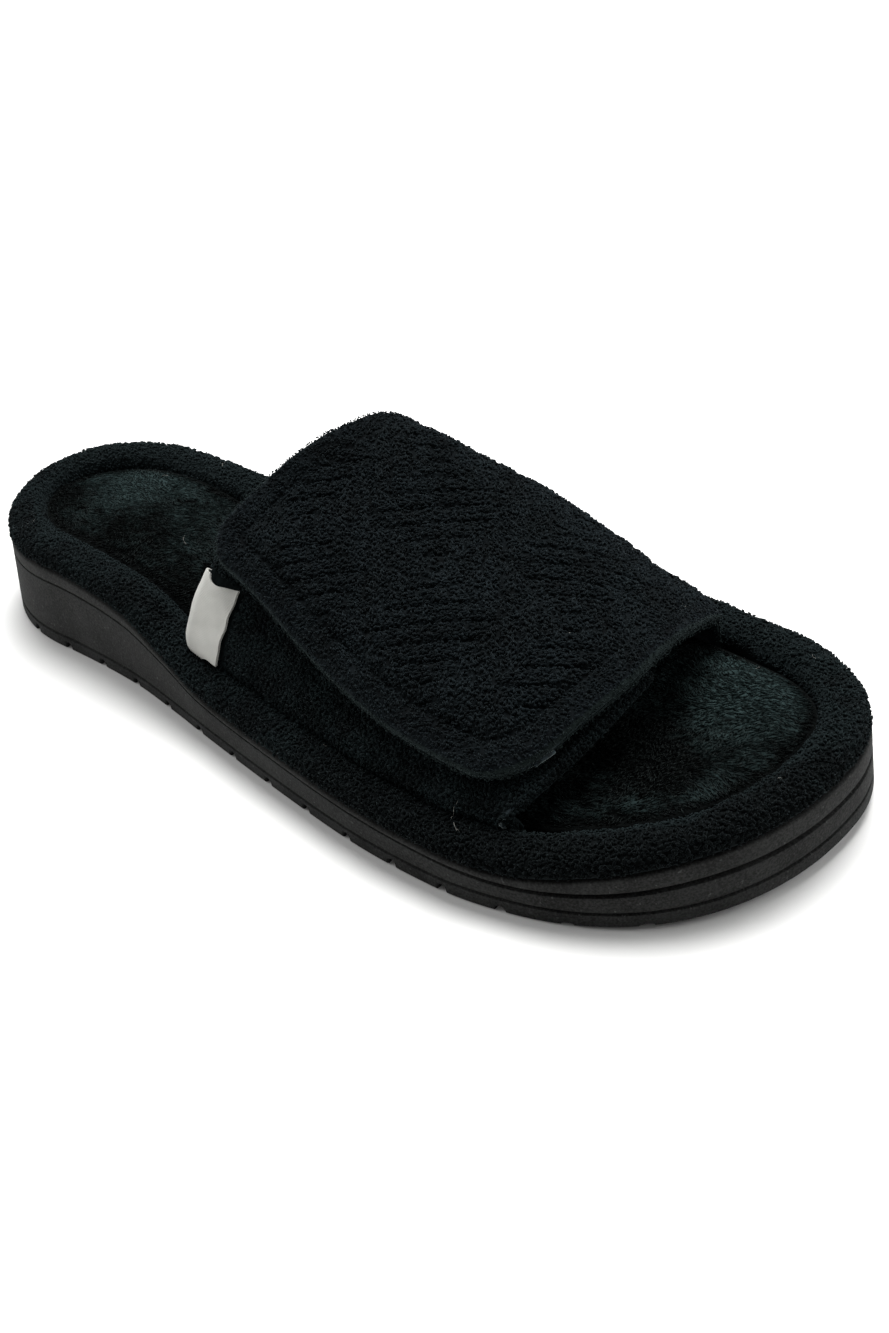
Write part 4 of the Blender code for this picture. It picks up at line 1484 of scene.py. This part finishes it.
def make_strap(finish, pile_finish, bead_finish, sizes, pattern):
    """Padded strap with its free flap, its pressed squares, its brushed edge and its loops."""
    half = 0.5 * STRAP_THICKNESS
    reach = arch_length(0.5)
    along = edge_steps(STRAP_STEPS[0], True, True, STRAP_LENGTH, half)
    share = edge_steps(STRAP_STEPS[1], True, False, STRAP_SHARE * reach, half)
    middle, normal, full, place, span = strap_grid(along, share)
    left, distance = free_thickness(middle, (middle[1], middle[-2], middle[:, 1]), half)
    left[0] = left[-1] = left[:, 0] = SEAM_SHARE
    thick = (0.5 * full * left)[..., None]
    inner = middle - normal * thick
    outer = middle + normal * thick
    step = np.linalg.norm(np.diff(middle, axis=1), axis=-1)
    over = np.concatenate((np.zeros((len(along), 1)), np.cumsum(step, axis=1)), 1)
    crest = np.array([np.interp(0.5, span[row], over[row]) for row in range(len(along))])
    v = over - crest[:, None]
    u = middle[..., 0]
    line, upward = emboss(u, v, pattern)
    groove = line * ramp(distance, PATTERN_START, PATTERN_EASE) * np.where(upward, GROOVE_UPWARD, 1.0)
    trough = np.exp(-(((distance - TROUGH_PLACE) / TROUGH_WIDTH) ** 2)) * ramp(span, *TROUGH_EASE)
    soft = lumps(outer, STRAP_LUMPS) + folds(STRAP_FOLDS, place, span)
    press = soft - pattern.depth * groove - TROUGH_DEPTH * trough
    outer = outer + normal * (press * smooth_step(distance / half))[..., None]
    rim_way = unit(np.gradient(middle, axis=0))
    over_way = unit(np.gradient(middle, axis=1))
    lie = unit(np.where(upward[..., None], rim_way - over_way, rim_way + over_way))
    inner_foot, outer_foot = foot_rows(along, MEDIAL)
    inner = np.concatenate((inner, inner_foot), 1)
    outer = np.concatenate((outer, outer_foot), 1)
    points, faces = shell(inner, outer)
    piece = make_mesh("strap", points, faces, finish)
    settle(piece, "strap_terry", "upper_strap")
    cover = (len(along) - 1) * (outer.shape[1] - 1)
    low = np.maximum(groove, 0.6 * trough)
    border = 1.0 - ramp(distance, 0.0055, 0.003)
    edging = 1.0 - smooth_step(distance / 0.0022)
    grow = np.full(len(faces), 0.7)
    grow[:cover] = ((1.0 - 0.3 * low) * (1.0 - 0.25 * border) * (1.0 - 0.4 * edging))[:-1].ravel()
    weights = np.zeros(len(faces))
    weights[:cover] = 1.0
    weights[cover : 2 * cover] = 0.5 * (distance[:-1] < half).ravel()
    ways = np.tile(np.array((1.0, 0.0, 0.0)), (len(faces), 1))
    ways[:cover] = lie[:-1].reshape(-1, 3)
    # Painted highlight along the strap's edge, fading inward; the wall's border faces get it in full
    light = EDGE_LIGHT * (1.0 - ramp(distance, *EDGE_LIGHT_EASE))
    mark(piece, np.tile(np.pad(light, ((0, 0), (0, 1)), mode="edge").ravel(), 2))
    laid = np.full(len(faces), EDGE_LIGHT)
    laid[: 2 * cover] = np.tile(light[:-1].ravel(), 2)
    places = np.pad(np.stack((u, v, distance), -1), ((0, 0), (0, 1), (0, 0)), mode="edge")
    places = np.tile(places.reshape(-1, 3), (2, 1))

    def keep(corners, share):
        u, v, distance = (places[corners] * share).sum(1).T
        pressed, upward = emboss(u, v, pattern)
        pressed = PRESSED_SHARE * pressed * ramp(distance, PATTERN_START, PATTERN_LOOP_EASE)
        pressed = pressed * np.where(upward, PRESSED_UPWARD, 1.0)
        stitched = STITCHED_SHARE * (1.0 - smooth_step(np.abs(distance - STITCH_PLACE) / STITCH_WIDTH))
        return 1.0 - np.maximum(pressed, stitched)

    loops = pile(
        "strap_loops",
        piece,
        weights,
        sizes.strap_loops,
        loop_sizes(sizes),
        pile_finish,
        PILE_SEEDS["strap"],
        lie=ways,
        spread=0.75,
        grow=grow,
        judge=keep,
        laid=laid,
    )
    settle(loops, "strap_terry")
    low_edge = middle - 0.12 * full[..., None] * normal
    path = np.concatenate((low_edge[0, :-1][::-1], low_edge[:, 0], low_edge[-1, :-1]))
    rear_out = (middle[0, :-1] - middle[3, :-1])[::-1]
    side_out = middle[:, 0] - middle[:, 3]
    front_out = middle[-1, :-1] - middle[-4, :-1]
    outward = unit(np.concatenate((rear_out, side_out, front_out)))
    brushed_edge("strap_edge", path + outward * EDGE_OUT, bead_finish, "strap_terry")


def trimmed(path):
    """Path with evenly spaced points."""
    length = length_along(path)
    wanted = np.linspace(0.0, length[-1], round(length[-1] / BEAD_STEP))
    return np.stack([np.interp(wanted, length, path[:, axis]) for axis in range(3)], -1)


def quarter_middle(along, span):
    """Middle of the quarter's wall and its outward direction."""
    normal = arch_normal(along, span)
    gap = mix(FIT, LAP_GAP, smooth_step(span / LAP_RAMP))
    away = gap + 0.5 * wall(QUARTER_THICKNESS, span)
    return arch(along, span) - normal * away[..., None], normal


def make_quarter(finish, pile_finish, bead_finish, sizes):
    """Padded side quarter under the flap, with its soft creases, brushed edge and loops."""
    half = 0.5 * QUARTER_THICKNESS
    reach = arch_length(0.5)
    along = edge_steps(QUARTER_STEPS[0], True, True, STRAP_LENGTH, half)
    share = edge_steps(QUARTER_STEPS[1], False, True, reach * QUARTER_TOP, half)
    place, span = np.meshgrid(along, QUARTER_TOP * share, indexing="ij")
    middle, normal = quarter_middle(place, span)
    left, distance = free_thickness(middle, (middle[1], middle[-2], middle[:, -2]), half)
    left[0] = left[-1] = left[:, -1] = SEAM_SHARE
    thick = (0.5 * wall(QUARTER_THICKNESS, span) * left)[..., None]
    inner = middle - normal * thick
    outer = middle + normal * thick
    soft = lumps(outer * QUARTER_STRETCH, QUARTER_LUMPS) + folds(QUARTER_FOLDS, place, span)
    outer = outer + normal * (soft * smooth_step(distance / half))[..., None]
    inner_foot, outer_foot = foot_rows(along, LATERAL)
    inner = np.concatenate((inner_foot, inner), 1)
    outer = np.concatenate((outer_foot, outer), 1)
    points, faces = shell(inner, outer)
    piece = make_mesh("quarter", points, faces, finish)
    settle(piece, "quarter_terry", "side_quarter")
    cover = (len(along) - 1) * (outer.shape[1] - 1)
    weights = np.zeros(len(faces))
    flap = flap_span(place) + 0.006 / reach
    rear_reach = arch_length(0.0)
    low = (TAG_START - 0.001) / rear_reach
    high = low + (TAG_LENGTH + 0.001) / rear_reach
    tagged = (place * STRAP_LENGTH < TAG_WIDTH + 0.0005) & (span > low) & (span < high)
    shown = ((span < flap) | (place < 0.06) | (place > 0.95)) & ~tagged
    weights[:cover] = np.pad(shown, ((0, 0), (1, 0)), mode="edge")[:-1, :-1].ravel()
    loops = pile(
        "quarter_loops",
        piece,
        weights,
        sizes.quarter_loops,
        loop_sizes(sizes, sizes.rim_share),
        pile_finish,
        PILE_SEEDS["quarter"],
    )
    settle(loops, "quarter_terry")
    for name, row, inward in (("quarter_rear_edge", 0, 3), ("quarter_front_edge", -1, -4)):
        out = unit(middle[row, 2:] - middle[inward, 2:])
        path = middle[row, 2:] + normal[row, 2:] * 0.3 * QUARTER_THICKNESS + out * EDGE_OUT
        brushed_edge(name, path, bead_finish, "quarter_terry")


def make_tag(finish):
    """Blank woven tag, folded round the quarter's rear edge, its upper end curled."""
    half = 0.5 * QUARTER_THICKNESS
    lift = half + TAG_STAND + 0.5 * TAG_THICKNESS
    reach = arch_length(0.0)
    low = TAG_START / reach
    high = low + TAG_LENGTH / reach
    path = [(1.0, 0.0, distance) for distance in np.linspace(TAG_WIDTH, half, 22)]
    for turn in np.linspace(0.0, math.pi, 14)[1:-1]:
        path.append((math.cos(turn), math.sin(turn), half))
    path += [(-1.0, 0.0, distance) for distance in np.linspace(half, TAG_INNER_WIDTH, 8)]
    share = np.linspace(0.0, 1.0, 40)
    near, far = [], []
    for out, back, distance in path:
        front = np.clip((distance - half) / (TAG_WIDTH - half), 0.0, 1.0) if out > 0.0 else 0.0
        dip = TAG_DIP * math.sin(math.pi * front**0.55)
        drop = TAG_DROP * (1.0 - smooth_step(front / 0.7))
        span = mix(low - drop / reach, high - (dip + 0.4 * drop) / reach, share)
        middle, normal = quarter_middle(np.full_like(span, distance / STRAP_LENGTH), span)
        edge = quarter_middle(np.zeros_like(span), span)[0]
        beyond = quarter_middle(np.full_like(span, 2.0 * half / STRAP_LENGTH), span)[0]
        direction = unit(normal * out + unit(edge - beyond) * back)
        curl = TAG_CURL * smooth_step((share - 0.8) / 0.2) * math.sin(math.pi * min(front + 0.15, 1.0))
        wave = TAG_WAVE * np.sin(share * TAG_WAVE_ALONG + front * TAG_WAVE_ACROSS) * ramp(front, 0.55, 0.4)
        foot = TAG_FOOT * smooth_step((0.45 - share) / 0.45) * mix(1.0, 0.25, front)
        belly = TAG_BELLY * np.sin(math.pi * share) * (1.0 - front)
        raised = (curl + wave + 0.0004 * front) * (out > 0.0)
        stand = (lift + raised + (foot + belly) * max(out + 0.5, 0.0) / 1.5)[..., None]
        near.append(middle + direction * (stand - 0.5 * TAG_THICKNESS))
        far.append(middle + direction * (stand + 0.5 * TAG_THICKNESS))
    points, faces = shell(np.array(near), np.array(far))
    piece = make_mesh("tag", points, faces, finish)
    piece.data.set_sharp_from_angle(angle=TAG_CREASE)
    settle(piece, "woven_tag", "side_tag")


def make_lint(finish, pieces):
    """Stray fibres that lie on the slipper."""
    trees = [BVHTree.FromObject(piece, bpy.context.evaluated_depsgraph_get()) for piece in pieces]
    radius = LINT_RADIUS * np.sqrt(np.sin(np.linspace(0.15, math.pi - 0.15, LINT_POINTS)))
    points, faces = [], []
    for row in LINT_ROWS:
        path = []
        for share in np.linspace(-0.5, 0.5, LINT_POINTS):
            bend = LINT_BEND * row.length * (0.25 - share * share)
            x = row.x + math.cos(row.turn) * row.length * share - math.sin(row.turn) * bend
            y = row.y + math.sin(row.turn) * row.length * share + math.cos(row.turn) * bend
            found = [tree.ray_cast(Vector((x, y, 0.2)), Vector((0.0, 0.0, -1.0)))[0] for tree in trees]
            path.append((x, y, max(place.z for place in found if place is not None) + 2.5 * LINT_RADIUS))
        first = len(points) * LINT_POINTS * LINT_SIDES
        fibre = cord(np.array(path), radius, LINT_SIDES, (0.0, 0.0, 1.0), first)
        points.append(fibre[0])
        faces += fibre[1]
    piece = make_mesh("lint", np.concatenate(points), faces, finish)
    settle(piece, "strap_terry")


class SLIPPER_OT_sole(bpy.types.Operator):
    """Build the rubber sole"""

    bl_idname = "slipper.sole"
    bl_label = "Sole"

    def execute(self, context):
        make_outsole(rubber_finish(context.scene.slipper_colours.rubber))
        return {"FINISHED"}


class SLIPPER_OT_footbed(bpy.types.Operator):
    """Build the rim and the insole"""

    bl_idname = "slipper.footbed"
    bl_label = "Footbed"

    def execute(self, context):
        colours = context.scene.slipper_colours
        # The rim and pad under the loops and hairs are painted darker than these, as painted shade in the
        # gaps between them
        make_rim(
            terry_finish("rim_terry", colours.plain, 0.8),
            terry_finish("rim_loop_terry", colours.plain, 1.05, 0.6),
            context.scene.slipper_pile,
        )
        make_insole(
            velour_finish("insole_velour", colours.velour, 0.85),
            velour_finish("insole_nap_velour", colours.velour),
            context.scene.slipper_pile,
        )
        return {"FINISHED"}


class SLIPPER_OT_upper(bpy.types.Operator):
    """Build the strap and the side quarter"""

    bl_idname = "slipper.upper"
    bl_label = "Upper"

    def execute(self, context):
        scene = context.scene
        colours = scene.slipper_colours
        bead = edge_highlight_finish(colours.terry)
        # The strap and quarter under the loops are painted darker than these, as painted shade in the gaps
        # between them
        make_strap(
            terry_finish("strap_terry", colours.terry, 0.6),
            terry_finish("strap_loop_terry", colours.terry),
            bead,
            scene.slipper_pile,
            scene.slipper_emboss,
        )
        make_quarter(
            terry_finish("quarter_terry", colours.plain, 1.0),
            terry_finish("quarter_loop_terry", colours.plain, 1.35, 0.5),
            bead,
            scene.slipper_pile,
        )
        return {"FINISHED"}


class SLIPPER_OT_tag(bpy.types.Operator):
    """Build the blank woven tag"""

    bl_idname = "slipper.tag"
    bl_label = "Tag"

    def execute(self, context):
        make_tag(tape_finish(context.scene.slipper_colours.tape))
        return {"FINISHED"}


class SLIPPER_OT_lint(bpy.types.Operator):
    """Lay stray fibres on the slipper"""

    bl_idname = "slipper.lint"
    bl_label = "Lint"

    def execute(self, context):
        names = ("rim", "rim_loops", "insole_pad", "insole_hairs", "strap", "strap_loops", "quarter_loops")
        make_lint(lint_finish(), [bpy.data.objects[name] for name in names])
        return {"FINISHED"}


class SLIPPER_OT_stage(bpy.types.Operator):
    """Set the camera, the floor and the lights"""

    bl_idname = "slipper.stage"
    bl_label = "Stage"

    def execute(self, context):
        scene = context.scene
        sizes = scene.slipper_stage
        flat = math.cos(sizes.elevation)
        back = Vector(
            (math.sin(sizes.azimuth) * flat, -math.cos(sizes.azimuth) * flat, math.sin(sizes.elevation))
        )
        camera = bpy.data.objects.new("camera", bpy.data.cameras.new("camera"))
        camera.location = Vector(sizes.target) + back * sizes.distance
        camera.rotation_mode = "QUATERNION"
        roll = Quaternion((0.0, 0.0, 1.0), sizes.roll)
        camera.rotation_quaternion = (-back).to_track_quat("-Z", "Y") @ roll
        camera.data.sensor_width = sizes.sensor
        camera.data.lens = sizes.lens
        camera.data.shift_x, camera.data.shift_y = sizes.shift
        camera.data.clip_start = 0.01
        scene.collection.objects.link(camera)
        scene.camera = camera
        finish = Finish("floor_paper", 0.9, specular=0.2)
        tone = finish.noise(0.05, 2.0)
        finish.paint(finish.blend(tone, tinted(sizes.floor_colour, 0.99), sizes.floor_colour))
        side = 0.5 * sizes.floor_size
        corners = np.array(((-side, -side, 0.0), (side, -side, 0.0), (side, side, 0.0), (-side, side, 0.0)))
        floor = make_mesh("floor", corners, np.array(((0, 1, 2, 3),)), finish)
        world = bpy.data.worlds.new("studio")
        world.use_nodes = True
        sky = world.node_tree.nodes["Background"]
        sky.inputs["Color"].default_value = (1.0, 1.0, 1.0, 1.0)
        sky.inputs["Strength"].default_value = sizes.sky
        scene.world = world
        for row in LAMP_ROWS:
            light = bpy.data.lights.new(row.name, "AREA")
            light.shape = "DISK"
            light.size = row.size
            light.energy = row.power
            lamp = bpy.data.objects.new(row.name, light)
            lamp.location = row.place
            lamp.rotation_mode = "QUATERNION"
            lamp.rotation_quaternion = (-Vector(row.place)).to_track_quat("-Z", "Y")
            scene.collection.objects.link(lamp)
        scene.view_settings.view_transform = "Standard"
        return {"FINISHED"}


class SLIPPER_PT_panel(bpy.types.Panel):
    """Panel that lists the slipper's operators and sizes."""

    bl_label = "Scuff slipper"
    bl_idname = "SLIPPER_PT_panel"
    bl_space_type = "VIEW_3D"
    bl_region_type = "UI"
    bl_category = "Slipper"

    def draw(self, context):
        for operator in OPERATORS:
            self.layout.operator(operator.bl_idname)
        for group in GROUPS:
            held = getattr(context.scene, group)
            for name in held.bl_rna.properties.keys():
                if name not in ("rna_type", "name"):
                    self.layout.prop(held, name)


OPERATORS = (
    SLIPPER_OT_sole,
    SLIPPER_OT_footbed,
    SLIPPER_OT_upper,
    SLIPPER_OT_tag,
    SLIPPER_OT_lint,
    SLIPPER_OT_stage,
)
GROUPS = {
    "slipper_pile": PileSizes,
    "slipper_emboss": EmbossSizes,
    "slipper_colours": FinishColours,
    "slipper_stage": StageSizes,
}


def register():
    """Register the classes, and hang the sizes on the scene."""
    for made in (*GROUPS.values(), *OPERATORS, SLIPPER_PT_panel):
        bpy.utils.register_class(made)
    for name, group in GROUPS.items():
        setattr(bpy.types.Scene, name, PointerProperty(type=group))


def unregister():
    """Take the sizes and classes away again."""
    for name in GROUPS:
        delattr(bpy.types.Scene, name)
    for made in (SLIPPER_PT_panel, *reversed(OPERATORS), *reversed(tuple(GROUPS.values()))):
        bpy.utils.unregister_class(made)


def main():
    """Build the slipper and its stage."""
    register()
    bpy.ops.slipper.sole()
    bpy.ops.slipper.footbed()
    bpy.ops.slipper.upper()
    bpy.ops.slipper.tag()
    bpy.ops.slipper.lint()
    bpy.ops.slipper.stage()


if __name__ == "__main__":
    main()
